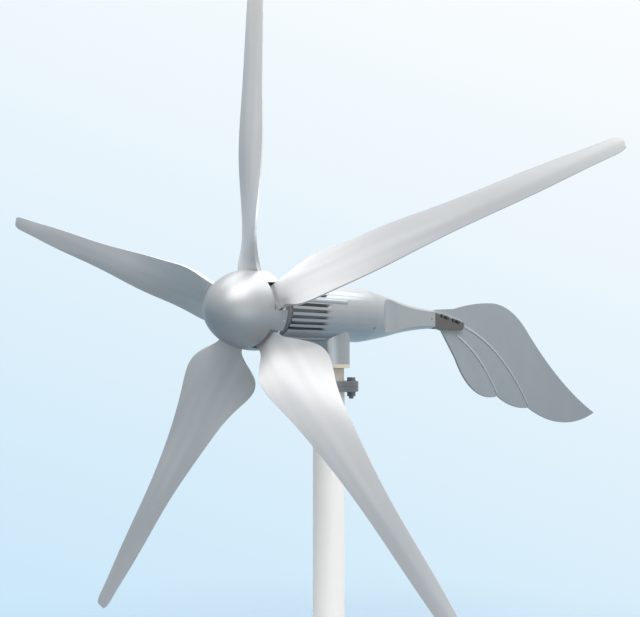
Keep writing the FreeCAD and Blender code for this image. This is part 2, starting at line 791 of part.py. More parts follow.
def make_blade_bolts():
    """Three bolts through each blade root, and their nuts behind the rear plate."""
    nut_end = rear_plate_end + blade_nut_height
    bolts = fastener_set("blade_bolts", HEAD, blade_bolt_places(), [
        ("round", blade_bolt_radius, front_plate_face - blade_bolt_head_height, nut_end + blade_bolt_past_nut),
        ("round", blade_bolt_head, front_plate_face - blade_bolt_head_height, front_plate_face),
    ], blade_count)
    turn_with_blades(bolts)
    nuts = new_body("blade_nuts", HEAD)
    sketch = new_sketch(nuts, "XZ", lift=-rear_plate_end)
    for x, z in blade_bolt_places():
        hexagon(sketch, x, z, blade_nut_flats)
        circle(sketch, x, z, blade_bolt_radius)
    doc.recompute()
    nut = pad(nuts, sketch, blade_nut_height, reverse=True)
    axis_sketch = new_sketch(nuts, "YZ")
    repeat(nuts, [nut], axis_sketch, "H_Axis", blade_count)
    turn_with_blades(nuts)


def make_shaft():
    """The main shaft, threaded in front, with a key in the hub."""
    body = new_body("main_shaft", HEAD)
    profile = new_sketch(body, "YZ")
    thread_start = front_plate_face - shaft_thread_length
    thread_end = front_plate_face + thread_relief
    shaft_end = rear_bearing_end + shaft_tail
    outline(profile, [
        (thread_start, 0), (shaft_end, 0), (shaft_end, shaft_radius),
        (rear_bearing_start, shaft_radius), (rear_bearing_start, shaft_shoulder_radius),
        (front_bearing_end, shaft_shoulder_radius), (front_bearing_end, shaft_radius),
        (thread_end, shaft_radius), (thread_end, shaft_thread_radius),
        (thread_start, shaft_thread_radius)])
    spin(body, profile, "H_Axis")
    keyway = new_sketch(body, "XZ", lift=-plate_seat)
    rectangle(keyway, -key_width / 2, key_width / 2, shaft_radius - key_height / 2, shaft_radius + OVERCUT)
    doc.recompute()
    cut(body, keyway, rear_plate_thickness + hub_boss_length)
    turn_with_blades(body)

    key = new_body("shaft_key", HEAD)
    sketch = new_sketch(key, "XZ", lift=-plate_seat)
    half = key_height / 2
    rectangle(sketch, -key_width / 2, key_width / 2, shaft_radius - half, shaft_radius + half)
    doc.recompute()
    pad(key, sketch, rear_plate_thickness + hub_boss_length, reverse=True)
    turn_with_blades(key)


def make_shaft_nut():
    """The washer and the nut that hold the hub on the shaft."""
    washer_face = front_plate_face - shaft_washer_thickness
    turned_ring("shaft_washer", HEAD, washer_face, front_plate_face, shaft_thread_radius, shaft_washer_radius)
    nut = new_body("shaft_nut", HEAD)
    sketch = new_sketch(nut, "XZ", lift=-washer_face)
    hexagon(sketch, as_size(0), as_size(0), shaft_nut_flats)
    circle(sketch, 0, 0, shaft_thread_radius)
    doc.recompute()
    pad(nut, sketch, shaft_nut_height)


def make_rotor():
    """Everything that turns with the blades."""
    make_nose_cone()
    make_cone_screws()
    make_hub_front_plate()
    make_hub_rear_plate()
    for number in range(blade_count):
        make_blade(number)
    make_blade_bolts()
    make_shaft()
    make_shaft_nut()
    stator_end = stator_start + stator_length
    turned_ring("magnet_core", HEAD, stator_start, stator_end, shaft_shoulder_radius, rotor_core_radius)
    make_magnets()


def make_magnets():
    """Curved magnets on the rotor core."""
    body = new_body("magnets", HEAD)
    sketch = new_sketch(body, "YZ", turn=magnet_angle / 2, turn_axis=Vector(1, 0, 0))
    magnet_face = rotor_core_radius + magnet_thickness
    rectangle(sketch, stator_start, stator_start + stator_length, rotor_core_radius, magnet_face)
    sweep = add_feature(body, "Revolution", sketch)
    sweep.ReferenceAxis = (sketch, ["H_Axis"])
    sweep.Angle = magnet_angle.value
    sweep.setExpression("Angle", magnet_angle.text)
    sweep.Reversed = True
    doc.recompute()
    repeat(body, [sweep], sketch, "H_Axis", magnet_count)


# ---------------------------------------------------------------------------------------------
# Casing and generator
# ---------------------------------------------------------------------------------------------

def make_main_casing():
    """One casting: finned generator barrel, bearing bulkhead, rear cavity and the yaw neck under it."""
    body = new_body("main_casing", HEAD)
    neck = new_sketch(body, "XY", lift=-neck_drop)
    circle(neck, 0, yaw_offset, neck_radius)
    pad(body, neck, neck_drop)
    barrel = new_sketch(body, "YZ")
    rectangle(barrel, casing_front_y, casing_end_y, 0, casing_radius)
    doc.recompute()
    spin(body, barrel, "H_Axis")
    boss = new_sketch(body, "XZ", lift=-casing_front_y, turn=boss_angle, turn_axis=Vector(0, 0, 1))
    circle(boss, boss_circle, 0, boss_radius)
    doc.recompute()
    boss_pad = pad(body, boss, boss_length, reverse=True)
    repeat(body, [boss_pad], barrel, "H_Axis", 4)
    cavity = new_sketch(body, "YZ")
    before_front = casing_front_y - OVERCUT
    past_end = casing_end_y + OVERCUT
    seat_end = rear_bearing_end
    bulkhead_end = rear_bearing_start + bulkhead_thickness
    shaft_hole = shaft_radius + shaft_hole_gap
    outline(cavity, [
        (before_front, 0), (past_end, 0), (past_end, rear_cavity_radius),
        (bulkhead_end, rear_cavity_radius), (bulkhead_end, shaft_hole), (seat_end, shaft_hole),
        (seat_end, bearing_outer), (rear_bearing_start, bearing_outer), (rear_bearing_start, casing_bore),
        (before_front, casing_bore)])
    doc.recompute()
    spin(body, cavity, "H_Axis", groove=True)
    make_fin_gaps(body)
    make_neck_bores(body)
    hole = new_sketch(body, "XZ", lift=-before_front, turn=boss_angle, turn_axis=Vector(0, 0, 1))
    circle(hole, boss_circle, 0, cover_bolt_radius)
    doc.recompute()
    bolt_hole = cut(body, hole, cover_bolt_depth + OVERCUT * 2)
    repeat(body, [bolt_hole], barrel, "H_Axis", 4)
    drill_shell_screws(body, barrel, rear_cavity_radius - OVERCUT, casing_radius)
    return body


def make_fin_gaps(body):
    """Gaps between the fins, in a lower and an upper group on each flank."""
    floor = casing_radius - fin_depth
    clear_of_fins = casing_radius + OVERCUT
    before_front = casing_front_y - OVERCUT
    run_out_start = casing_front_y + fin_length
    for half_turn in (0, 180):
        for first, step, count in ((-fin_from_boss, -1, gaps_below_boss), (fin_from_boss, 1, gaps_above_boss)):
            turn = as_size(90 + half_turn) - boss_angle - first
            gap = new_sketch(body, "YZ", turn=turn, turn_axis=Vector(1, 0, 0))
            outline(gap, [
                (before_front, floor), (run_out_start, floor), (run_out_start + fin_run_out, clear_of_fins),
                (before_front, clear_of_fins)])
            doc.recompute()
            groove = cut(body, gap, fin_gap, both_ways=True)
            doc.recompute()
            repeat(body, [groove], gap, "H_Axis", count, span=fin_pitch * (count - 1), reverse=step > 0)


def make_neck_bores(body):
    """Seats for the two yaw bearings, with a lip between them."""
    lower_seat_top = neck_drop - yaw_bearing_width
    upper_seat_floor = lower_seat_top - yaw_bearing_apart
    for radius, start, length in (
            (yaw_bearing_outer - yaw_lip, neck_drop, neck_drop - casing_bore),
            (yaw_bearing_outer, neck_drop, yaw_bearing_width),
            (yaw_bearing_outer, upper_seat_floor, upper_seat_floor - casing_bore)):
        sketch = new_sketch(body, "XY", lift=-start)
        circle(sketch, 0, yaw_offset, radius)
        doc.recompute()
        cut(body, sketch, length, reverse=True)
    screw = new_sketch(body, "XY", lift=-neck_drop)
    for x, y in cap_screw_places():
        circle(screw, x, y + yaw_offset, cap_screw_radius)
    doc.recompute()
    cut(body, screw, cap_screw_length - neck_cap_thickness + OVERCUT, reverse=True)


def cap_screw_places():
    """Four screws in a square round the yaw axis."""
    reach = cap_screw_circle * math.cos(math.radians(45))
    return [(reach, reach), (-reach, reach), (-reach, -reach), (reach, -reach)]


def make_front_cover():
    """The cover in front of the generator: front bearing seat, shaft seal and four ears for the bolts."""
    body = new_body("front_cover", HEAD)
    profile = new_sketch(body, "YZ")
    spigot_end = casing_front_y + cover_spigot
    seat_end = front_bearing_end
    seal_end = cover_front_y + seal_width
    sleeve_hole = hub_sleeve_radius + sleeve_hole_gap
    seat_wall = bearing_outer + bearing_seat_wall
    spigot_inner = casing_bore - spigot_wall
    web_back = casing_front_y - cover_web
    ear_face = casing_front_y - cover_ear
    outline(profile, [
        (cover_front_y, seal_seat_radius), (seal_end, seal_seat_radius), (seal_end, sleeve_hole),
        (front_seat_y, sleeve_hole), (front_seat_y, bearing_outer), (seat_end, bearing_outer),
        (seat_end, seat_wall), (web_back, seat_wall), (web_back, spigot_inner), (spigot_end, spigot_inner),
        (spigot_end, casing_bore - spigot_clearance), (casing_front_y, casing_bore - spigot_clearance),
        (casing_front_y, cover_rim_radius), (ear_face, cover_rim_radius),
        (cover_front_y, cover_nose_radius)])
    spin(body, profile, "H_Axis")
    ear = new_sketch(body, "XZ", lift=-casing_front_y, turn=boss_angle, turn_axis=Vector(0, 0, 1))
    circle(ear, boss_circle, 0, boss_radius)
    doc.recompute()
    ear_pad = pad(body, ear, cover_ear)
    hole = new_sketch(body, "XZ", lift=-(casing_front_y + OVERCUT), turn=boss_angle, turn_axis=Vector(0, 0, 1))
    circle(hole, boss_circle, 0, cover_bolt_radius)
    doc.recompute()
    ear_hole = cut(body, hole, cover_bolt_depth, reverse=True)
    head_seat = new_sketch(body, "XZ", lift=-ear_face, turn=boss_angle, turn_axis=Vector(0, 0, 1))
    circle(head_seat, boss_circle, 0, cover_bolt_head + spot_face_margin)
    doc.recompute()
    spot_face = cut(body, head_seat, ear_face - cover_front_y, reverse=True)
    repeat(body, [ear_pad, ear_hole, spot_face], profile, "H_Axis", 4)


def make_casing_fittings():
    """Cover bolts, shaft seal, rotor bearings, stator and coils."""
    bolts = new_body("cover_bolts", HEAD)
    features = []
    cover_face = casing_front_y - cover_ear
    axis_sketch = new_sketch(bolts, "YZ")
    for radius, start, length in (
            (cover_bolt_radius, cover_face, cover_bolt_depth),
            (cover_bolt_head, cover_face - cover_bolt_head_height, cover_bolt_head_height)):
        sketch = new_sketch(bolts, "XZ", lift=-start, turn=boss_angle)
        circle(sketch, boss_circle, 0, radius)
        doc.recompute()
        features.append(pad(bolts, sketch, length, reverse=True))
    repeat(bolts, features, axis_sketch, "H_Axis", 4)

    seal_bore = hub_sleeve_radius + seal_gap
    turned_ring("shaft_seal", HEAD, cover_front_y, cover_front_y + seal_width, seal_bore, seal_seat_radius)
    for name, start in (("front_bearing", front_seat_y), ("rear_bearing", rear_bearing_start)):
        bearing(name, HEAD, start, bearing_width, shaft_radius, bearing_outer, bearing_race, ball_radius,
                bearing_ball_count)

    core = new_body("stator_core", HEAD)
    profile = new_sketch(core, "YZ")
    rectangle(profile, stator_start, stator_start + stator_length, stator_inner, casing_bore)
    spin(core, profile, "H_Axis")
    slot = new_sketch(core, "XZ", lift=-(stator_start - OVERCUT))
    rectangle(slot, -slot_width / 2, slot_width / 2, stator_inner - OVERCUT, stator_slot_root)
    doc.recompute()
    opening = cut(core, slot, stator_length + OVERCUT * 2)
    repeat(core, [opening], profile, "H_Axis", slot_count)

    coils = new_body("stator_coils", HEAD)
    axis_sketch = new_sketch(coils, "YZ")
    side = new_sketch(coils, "XZ", lift=-(stator_start - coil_overhang))
    half = slot_width / 2 - coil_clearance
    rectangle(side, -half, half, stator_inner + coil_inset, stator_slot_root - coil_clearance)
    doc.recompute()
    leg = pad(coils, side, stator_length + coil_overhang * 2, reverse=True)
    repeat(coils, [leg], axis_sketch, "H_Axis", slot_count)
    coil_end = stator_start + stator_length + coil_clearance
    for start in (stator_start - coil_clearance - coil_overhang, coil_end):
        end_turns = new_sketch(coils, "YZ")
        end_turn_inner = stator_inner + end_turn_inset
        rectangle(end_turns, start, start + coil_overhang, end_turn_inner, end_turn_inner + end_turn_height)
        doc.recompute()
        spin(coils, end_turns, "H_Axis")


# ---------------------------------------------------------------------------------------------
# Tail shell, clamp and vane
# ---------------------------------------------------------------------------------------------

def make_rear_shell():
    """The tapering shell behind the casing, with a flat cheek on each side and a slot for the clamp."""
    body = new_body("rear_shell", HEAD)
    profile = new_sketch(body, "YZ")
    spigot_start = casing_end_y - shell_spigot
    spigot_radius = rear_cavity_radius - spigot_clearance
    outline(profile, [
        (spigot_start, spigot_radius), (casing_end_y, spigot_radius),
        (casing_end_y, casing_radius, -shell_swell),
        (shell_mid_y, shell_mid_radius, shell_hollow), (shell_end_y, shell_end_radius), (shell_end_y, 0),
        (shell_bore_end_y, 0), (shell_bore_end_y, shell_bore_end), (shell_waist_y, shell_waist_bore),
        (shell_waist_y - 20, spigot_radius - shell_wall), (spigot_start, spigot_radius - shell_wall)])
    spin(body, profile, "H_Axis")
    cheek = new_sketch(body, "XY")
    outside = casing_radius + 5
    outline(cheek, [
        (outside, cheek_start_y), (outside, shell_end_y + 10), (cheek_end_half, shell_end_y + 10),
        (cheek_end_half, shell_end_y), (cheek_flat_half, cheek_flat_y, cheek_blend),
        (cheek_knee_half, cheek_knee_y), (cheek_start_half, cheek_start_y)])
    doc.recompute()
    flat = cut(body, cheek, casing_radius * 2, both_ways=True)
    mirrored = body.newObject("PartDesign::Mirrored", "rear_shell_mirrored")
    mirrored.Originals = [flat]
    mirrored.MirrorPlane = (origin_plane(body, "YZ"), [""])
    body.Tip = mirrored
    slot = new_sketch(body, "XZ", lift=-(shell_end_y + OVERCUT))
    half = clamp_half_width + tenon_clearance
    height = tenon_half_height + tenon_clearance
    rectangle(slot, -half, half, -height, height)
    doc.recompute()
    cut(body, slot, tenon_length + OVERCUT, reverse=True)
    screw_hole = new_sketch(body, "YZ")
    circle(screw_hole, shell_end_y - tenon_length / 2, 0, tail_screw_radius)
    doc.recompute()
    cut(body, screw_hole, casing_radius * 2, both_ways=True)
    drill_shell_screws(body, profile, rear_cavity_radius - shell_wall * 3, casing_radius)
    return body


def drill_shell_screws(body, axis_sketch, inner, outer):
    """Radial screw holes round the joint between casing and shell."""
    hole = new_sketch(body, "XY", lift=inner)
    circle(hole, 0, casing_end_y - shell_spigot / 2, shell_screw_radius)
    doc.recompute()
    drilled = cut(body, hole, outer - inner + OVERCUT * 2, reverse=True)
    repeat(body, [drilled], axis_sketch, "H_Axis", 3)


def make_shell_screws():
    """Grub screws that hold the shell in the casing."""
    body = new_body("shell_screws", HEAD)
    start = casing_radius - 1 - shell_screw_length
    sketch = new_sketch(body, "XY", lift=start)
    circle(sketch, 0, casing_end_y - shell_spigot / 2, shell_screw_radius - seat_clearance)
    doc.recompute()
    screw = pad(body, sketch, shell_screw_length)
    axis_sketch = new_sketch(body, "YZ")
    repeat(body, [screw], axis_sketch, "H_Axis", 3)


clamp_inner = vane_thickness / 2 + vane_gap
clamp_half_width = clamp_inner + clamp_thickness


def slot_centres():
    """Centres of the two long slots in each clamp bar."""
    step_y = clamp_slot_pitch * cosine(clamp_slope)
    step_z = clamp_slot_pitch * sine(clamp_slope)
    return [(clamp_slot_y, clamp_slot_z), (clamp_slot_y + step_y, clamp_slot_z - step_z)]


def bolt_centres():
    """Centres of the clamp bolts, two in each slot."""
    centres = []
    for y, z in slot_centres():
        for side in (-1, 1):
            centres.append((y + tail_bolt_apart / 2 * side * cosine(clamp_slope),
                            z - tail_bolt_apart / 2 * side * sine(clamp_slope)))
    return centres


def make_tail_clamp(side):
    """One clamp bar: a tenon in the shell, and a tapering arm that presses on the vane."""
    name = "tail_clamp_right" if side > 0 else "tail_clamp_left"
    body = new_body(name, HEAD)
    bar = new_sketch(body, "YZ", lift=clamp_inner * side)
    half = tenon_half_height
    arm_end = clamp_end_y - clamp_end_radius
    outline(bar, [
        (shell_end_y - tenon_length, -half), (shell_end_y, -half), (shell_end_y, -clamp_front_half),
        (arm_end, clamp_end_bottom, clamp_end_radius * ROUND_END),
        (arm_end, clamp_end_bottom + clamp_end_radius * 2),
        (shell_end_y, clamp_front_half), (shell_end_y, half), (shell_end_y - tenon_length, half)])
    doc.recompute()
    pad(body, bar, clamp_thickness, reverse=side < 0)
    holes = new_sketch(body, "YZ")
    for y, z in bolt_centres():
        circle(holes, y, z, tail_bolt_hole)
    circle(holes, shell_end_y - tenon_length / 2, 0, tail_screw_radius - seat_clearance)
    doc.recompute()
    cut(body, holes, (clamp_half_width + OVERCUT) * 2, both_ways=True)
    for y, z in slot_centres():
        slot = new_sketch(body, "YZ", turn=clamp_slope, turn_axis=Vector(0, 0, -1))
        slot.setExpression("AttachmentOffset.Base.x", y.text)
        slot.setExpression("AttachmentOffset.Base.y", z.text)
        slot.setExpression("AttachmentOffset.Base.z", ((clamp_half_width - clamp_slot_depth) * side).text)
        reach = (clamp_slot_length - clamp_slot_width) / 2
        half_width = clamp_slot_width / 2
        outline(slot, [
            (-reach, -half_width), (reach, -half_width, half_width * ROUND_END), (reach, half_width),
            (-reach, half_width, half_width * ROUND_END)])
        doc.recompute()
        cut(body, slot, clamp_slot_depth + OVERCUT, reverse=side > 0)


def make_tail_fixings():
    """Bolts through the clamp and the vane, their nuts, and the screws that lock the tenon."""
    floor = clamp_half_width - clamp_slot_depth
    bolts = new_body("tail_bolts", HEAD)
    stems = new_sketch(bolts, "YZ", lift=-floor - tail_nut_height)
    heads = new_sketch(bolts, "YZ", lift=floor)
    for y, z in bolt_centres():
        circle(stems, y, z, tail_bolt_radius)
        circle(heads, y, z, tail_bolt_head)
    doc.recompute()
    pad(bolts, stems, floor * 2 + tail_nut_height + 1)
    pad(bolts, heads, tail_bolt_head_height)

    nuts = new_body("tail_nuts", HEAD)
    sketch = new_sketch(nuts, "YZ", lift=-floor - tail_nut_height)
    for y, z in bolt_centres():
        hexagon(sketch, y, z, tail_nut_flats)
        circle(sketch, y, z, tail_bolt_radius)
    doc.recompute()
    pad(nuts, sketch, tail_nut_height)

    screws = new_body("tail_set_screws", HEAD)
    outer = clamp_half_width + 2
    screw = new_sketch(screws, "YZ", lift=clamp_inner)
    circle(screw, shell_end_y - tenon_length / 2, 0, tail_screw_radius - seat_clearance)
    doc.recompute()
    stem = pad(screws, screw, outer - clamp_inner)
    mirrored = screws.newObject("PartDesign::Mirrored", "tail_set_screws_mirrored")
    mirrored.Originals = [stem]
    mirrored.MirrorPlane = (origin_plane(screws, "YZ"), [""])
    screws.Tip = mirrored


def vane_point(name, back, up):
    """A named corner of the vane, measured back from its front edge and up from the rotor axis."""
    return vane_front_y + size(name + "_back", back), size(name + "_up", up)


def make_tail_vane():
    """A plate cut like three overlapping feathers, with a raised line along each overlap."""
    body = new_body("tail_vane", HEAD)
    top_front = vane_point("vane_top_front", 0, 25)
    saddle = vane_point("vane_saddle", 94, 30)
    crest = vane_point("vane_crest", 315, 53)
    shoulder = vane_point("vane_shoulder", 545, -22)
    long_tip = vane_point("long_feather_tip", 1060, -277)
    long_notch = vane_point("long_feather_notch", 550, -241)
    middle_notch = vane_point("middle_feather_notch", 347, -201)
    short_root = vane_point("short_feather_root", 104, -98)
    throat = vane_point("vane_throat", 30, -28)
    bottom_front = vane_point("vane_bottom_front", 0, -23)
    plate = new_sketch(body, "YZ")
    outline(plate, [
        bottom_front, throat,
        short_root + (short_feather_bend,), middle_notch + (middle_feather_bend,),
        long_notch + (long_feather_bend,), long_tip + (-vane_back_bend,),
        shoulder + (vane_crest_bend,), crest + (vane_saddle_bend,), saddle, top_front])
    doc.recompute()
    pad(body, plate, vane_thickness, both_ways=True)
    short_line = vane_point("short_line_start", 110, -38), vane_point("short_line_end", 340, -193)
    middle_line = vane_point("middle_line_start", 152, -14), vane_point("middle_line_end", 543, -232)
    for line, bend in ((short_line, short_line_bend), (middle_line, middle_line_bend)):
        (start_y, start_z), (end_y, end_z) = line
        half = rib_width / 2
        rib = new_sketch(body, "YZ")
        outline(rib, [
            (start_y, start_z - half, -bend), (end_y, end_z - half), (end_y, end_z + half, bend),
            (start_y, start_z + half)])
        doc.recompute()
        pad(body, rib, vane_thickness + rib_height * 2, both_ways=True)
    holes = new_sketch(body, "YZ")
    for y, z in bolt_centres():
        circle(holes, y, z, tail_bolt_hole)
    doc.recompute()
    cut(body, holes, vane_thickness + OVERCUT * 2, both_ways=True)


# ---------------------------------------------------------------------------------------------
# Yaw neck fittings, slip rings and mast
# ---------------------------------------------------------------------------------------------

lower_bearing_top = neck_drop - yaw_bearing_width
upper_bearing_bottom = lower_bearing_top - yaw_bearing_apart
upper_bearing_top = upper_bearing_bottom - yaw_bearing_width
yaw_shaft_top = upper_bearing_top - circlip_thickness - yaw_shaft_rise
drum_top = yaw_shaft_top - drum_length
cap_bottom = neck_drop + neck_cap_thickness
stub_top = cap_bottom + yaw_gap
stub_bottom = stub_top + stub_length
plates_joint = stub_bottom + flange_thickness
mast_top = plates_joint + flange_thickness


def turned(name, frame, corners):
    """A sub-part turned round the mast axis from its corners as (radius, height)."""
    body = new_body(name, frame)
    profile = new_sketch(body, "YZ")
    outline(profile, corners)
    spin(body, profile, "V_Axis")
    return body, profile


def make_yaw_cap():
    """The ring that closes the neck from below and carries the seal."""
    lip_radius = yaw_seal_inner + yaw_seal_lip
    body, profile = turned("yaw_cap", NECK, [
        (yaw_seal_outer, -neck_drop), (neck_radius, -neck_drop), (neck_radius, -cap_bottom),
        (lip_radius, -cap_bottom), (lip_radius, -cap_bottom + yaw_seal_lip),
        (yaw_seal_outer, -cap_bottom + yaw_seal_lip)])
    holes = new_sketch(body, "XY", lift=-cap_bottom - OVERCUT)
    for x, y in cap_screw_places():
        circle(holes, x, y, cap_screw_radius)
    doc.recompute()
    cut(body, holes, neck_cap_thickness + OVERCUT * 2, reverse=True)
    turned_ring("yaw_seal", NECK, -cap_bottom + yaw_seal_lip, -neck_drop, yaw_seal_inner, yaw_seal_outer)
    screws = new_body("cap_screws", NECK)
    sketch = new_sketch(screws, "XY", lift=-cap_bottom)
    for x, y in cap_screw_places():
        circle(sketch, x, y, cap_screw_radius - seat_clearance)
    doc.recompute()
    pad(screws, sketch, cap_screw_length)


def make_yaw_bearings():
    """Two ball bearings between the neck and the yaw shaft."""
    for name, bottom in (("lower_yaw_bearing", neck_drop), ("upper_yaw_bearing", upper_bearing_bottom)):
        bearing(name, NECK, -bottom, yaw_bearing_width, yaw_shaft_radius, yaw_bearing_outer, yaw_bearing_race,
                yaw_ball_radius, yaw_ball_count)


def make_brush_gear():
    """Slip rings on an insulating drum, and the brushes that run on them."""
    turned_ring("slip_ring_drum", NECK, -yaw_shaft_top, -drum_top, yaw_shaft_bore, drum_radius)
    rings = new_body("slip_rings", NECK)
    sketch = new_sketch(rings, "YZ")
    brushes = new_body("brushes", NECK)
    contact = new_sketch(brushes, "XZ", lift=ring_radius + brush_gap)
    first_ring = yaw_shaft_top - drum_length / 2 - ring_pitch
    for number in range(ring_count):
        centre = first_ring + ring_pitch * number
        rectangle(sketch, drum_radius, ring_radius, -centre - ring_width / 2, -centre + ring_width / 2)
        half = ring_width / 2 - brush_inset
        rectangle(contact, -brush_width / 2, brush_width / 2, -centre - half, -centre + half)
    spin(rings, sketch, "V_Axis")
    doc.recompute()
    pad(brushes, contact, brush_length)
    holder = new_body("brush_holder", NECK)
    face = ring_radius + brush_gap + brush_length
    foot_top = yaw_shaft_top
    floor = rear_cavity_radius - brush_holder_lift
    profile = new_sketch(holder, "YZ")
    outline(profile, [
        (-face, -foot_top), (-face, -drum_top), (-face - brush_holder_depth, -drum_top),
        (-face - brush_holder_depth, -foot_top), (-face - brush_foot, -foot_top), (-face - brush_foot, -floor),
        (-yaw_bearing_outer - 1, -floor), (-yaw_bearing_outer - 1, -foot_top)])
    doc.recompute()
    pad(holder, profile, brush_holder_width, both_ways=True)


def make_yaw_shaft():
    """The hollow pivot that the head turns on, with its foot flange, bearings' seats and circlip groove."""
    groove_bottom = upper_bearing_top - circlip_play
    groove_top = groove_bottom - circlip_thickness - circlip_play * 2
    groove_radius = yaw_shaft_radius - circlip_width / 2
    turned("yaw_shaft", NECK, [
        (yaw_shaft_bore, -stub_bottom), (stub_radius, -stub_bottom), (stub_radius, -stub_top),
        (yaw_shoulder_radius, -stub_top), (yaw_shoulder_radius, -neck_drop), (yaw_shaft_radius, -neck_drop),
        (yaw_shaft_radius, -groove_bottom), (groove_radius, -groove_bottom), (groove_radius, -groove_top),
        (yaw_shaft_radius, -groove_top), (yaw_shaft_radius, -yaw_shaft_top), (yaw_shaft_bore, -yaw_shaft_top)])
    circlip_bottom = upper_bearing_top - circlip_play * 2
    turned_ring("yaw_circlip", NECK, -circlip_bottom, -circlip_bottom + circlip_thickness, groove_radius,
                yaw_shaft_radius + circlip_width / 2)


def flange(name, frame, bottom, top, inner):
    """A round plate with the ring of flange bolt holes."""
    body = turned_ring(name, frame, bottom, top, inner, flange_radius)
    hole = new_sketch(body, "XY", lift=bottom - OVERCUT, turn=flange_bolt_turn)
    circle(hole, flange_bolt_circle, 0, flange_bolt_hole)
    doc.recompute()
    drilled = cut(body, hole, top - bottom + OVERCUT * 2, reverse=True)
    repeat(body, [drilled], body.Group[0], "V_Axis", flange_bolt_count)


def flange_fastener(name, stages):
    """Bolts, washers or nuts on the flange bolt circle; a stage is (shape, outer, inner, bottom, top)."""
    body = new_body(name, NECK)
    axis_sketch = new_sketch(body, "YZ")
    features = []
    for shape, outer, inner, bottom, top in stages:
        sketch = new_sketch(body, "XY", lift=bottom, turn=flange_bolt_turn)
        if shape == "hexagon":
            hexagon(sketch, flange_bolt_circle, as_size(0), outer)
        else:
            circle(sketch, flange_bolt_circle, 0, outer)
        if inner is not None:
            circle(sketch, flange_bolt_circle, 0, inner)
        doc.recompute()
        features.append(pad(body, sketch, top - bottom))
    repeat(body, features, axis_sketch, "V_Axis", flange_bolt_count)


def make_mast():
    """The flanged joint under the head, the mast tube and its base flange."""
    flange("upper_flange", NECK, -plates_joint, -stub_bottom, upper_flange_bore)
    flange("mast_flange", NECK, -mast_top, -plates_joint, mast_radius - mast_wall)
    head_bottom = -stub_bottom + flange_washer_thickness
    nut_top = -mast_top - flange_washer_thickness
    nut_bottom = nut_top - flange_nut_height
    flange_fastener("flange_bolts", [
        ("round", flange_bolt_radius, None, nut_bottom - flange_bolt_past_nut, head_bottom),
        ("hexagon", flange_bolt_flats, None, head_bottom, head_bottom + flange_bolt_head_height)])
    flange_fastener("flange_washers", [
        ("round", flange_washer_radius, flange_bolt_radius, -stub_bottom, head_bottom),
        ("round", flange_washer_radius, flange_bolt_radius, nut_top, -mast_top)])
    flange_fastener("flange_nuts", [("hexagon", flange_bolt_flats, flange_bolt_radius, nut_bottom, nut_top)])
    tube_top = hub_height - mast_top
    turned_ring("mast_tube", GROUND, base_thickness, tube_top, mast_radius - mast_wall, mast_radius)
    make_base_flange()


def make_base_flange():
    """The foot of the mast: a drilled plate with four gussets against the tube."""
    body = turned_ring("base_flange", GROUND, 0, base_thickness, mast_radius - mast_wall, base_radius)
    profile = body.Group[0]
    hole = new_sketch(body, "XY", lift=-OVERCUT, turn=as_size(45))
    circle(hole, base_hole_circle, 0, base_hole_radius)
    doc.recompute()
    drilled = cut(body, hole, base_thickness + OVERCUT * 2, reverse=True)
    gusset = new_sketch(body, "YZ")
    foot = base_thickness - OVERCUT
    shoulder = base_thickness + gusset_height
    outline(gusset, [
        (mast_radius, foot), (mast_radius + gusset_reach, foot),
        (mast_radius + gusset_reach, base_thickness + gusset_toe), (mast_radius + gusset_top, shoulder),
        (mast_radius, shoulder)])
    doc.recompute()
    rib = pad(body, gusset, gusset_thickness, both_ways=True)
    repeat(body, [drilled, rib], profile, "V_Axis", base_hole_count)


make_rotor()
make_main_casing()
make_front_cover()
make_casing_fittings()
make_rear_shell()
make_shell_screws()
for clamp_side in (1, -1):
    make_tail_clamp(clamp_side)
make_tail_vane()
make_tail_fixings()
make_yaw_cap()
make_yaw_bearings()
make_brush_gear()
make_yaw_shaft()
make_mast()
doc.recompute()

problems = [item.Name for item in doc.Objects if "Invalid" in item.State or "Error" in item.State]
for part in sub_parts:
    if part.Shape.isNull() or not part.Shape.isValid():
        problems.append(part.Label)
if problems:
    raise RuntimeError(f"These objects did not build: {problems}")
for part in sub_parts:
    part.Shape.exportStep(f"parts/{part.Label}.step")
print(f"{len(sub_parts)} sub-parts written")
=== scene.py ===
# %% [markdown]
# # Small wind turbine
#
# This lesson dresses a small wind turbine.  The engineering model gives every part its true size and place,
# and moves the rotor and the head.  Here the visible parts get rounded edges, smooth skins and procedural
# finishes, then a soft studio is put round them.
#
# The frame is loaded first, because every later step takes its places from it.

import json
import math

import bmesh
import bpy
from mathutils import Matrix, Vector


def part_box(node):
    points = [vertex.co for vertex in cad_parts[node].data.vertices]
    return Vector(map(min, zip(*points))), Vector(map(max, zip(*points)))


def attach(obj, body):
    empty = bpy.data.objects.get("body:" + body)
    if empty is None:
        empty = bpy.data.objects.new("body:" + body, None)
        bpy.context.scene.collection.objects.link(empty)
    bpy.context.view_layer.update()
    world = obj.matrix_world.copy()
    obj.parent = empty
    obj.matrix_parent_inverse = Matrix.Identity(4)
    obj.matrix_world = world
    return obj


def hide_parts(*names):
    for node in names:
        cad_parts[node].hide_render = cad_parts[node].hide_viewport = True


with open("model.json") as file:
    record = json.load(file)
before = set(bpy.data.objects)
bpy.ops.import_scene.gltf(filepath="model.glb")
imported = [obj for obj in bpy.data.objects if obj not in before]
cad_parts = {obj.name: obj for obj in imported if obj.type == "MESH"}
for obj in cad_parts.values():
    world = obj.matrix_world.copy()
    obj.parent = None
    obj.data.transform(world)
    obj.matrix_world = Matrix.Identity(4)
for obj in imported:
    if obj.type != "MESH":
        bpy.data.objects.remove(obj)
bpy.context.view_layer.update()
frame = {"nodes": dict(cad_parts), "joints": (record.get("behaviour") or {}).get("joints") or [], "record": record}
slot_of = {part["node"]: part["material_slot"] for part in frame["record"]["subparts"]}
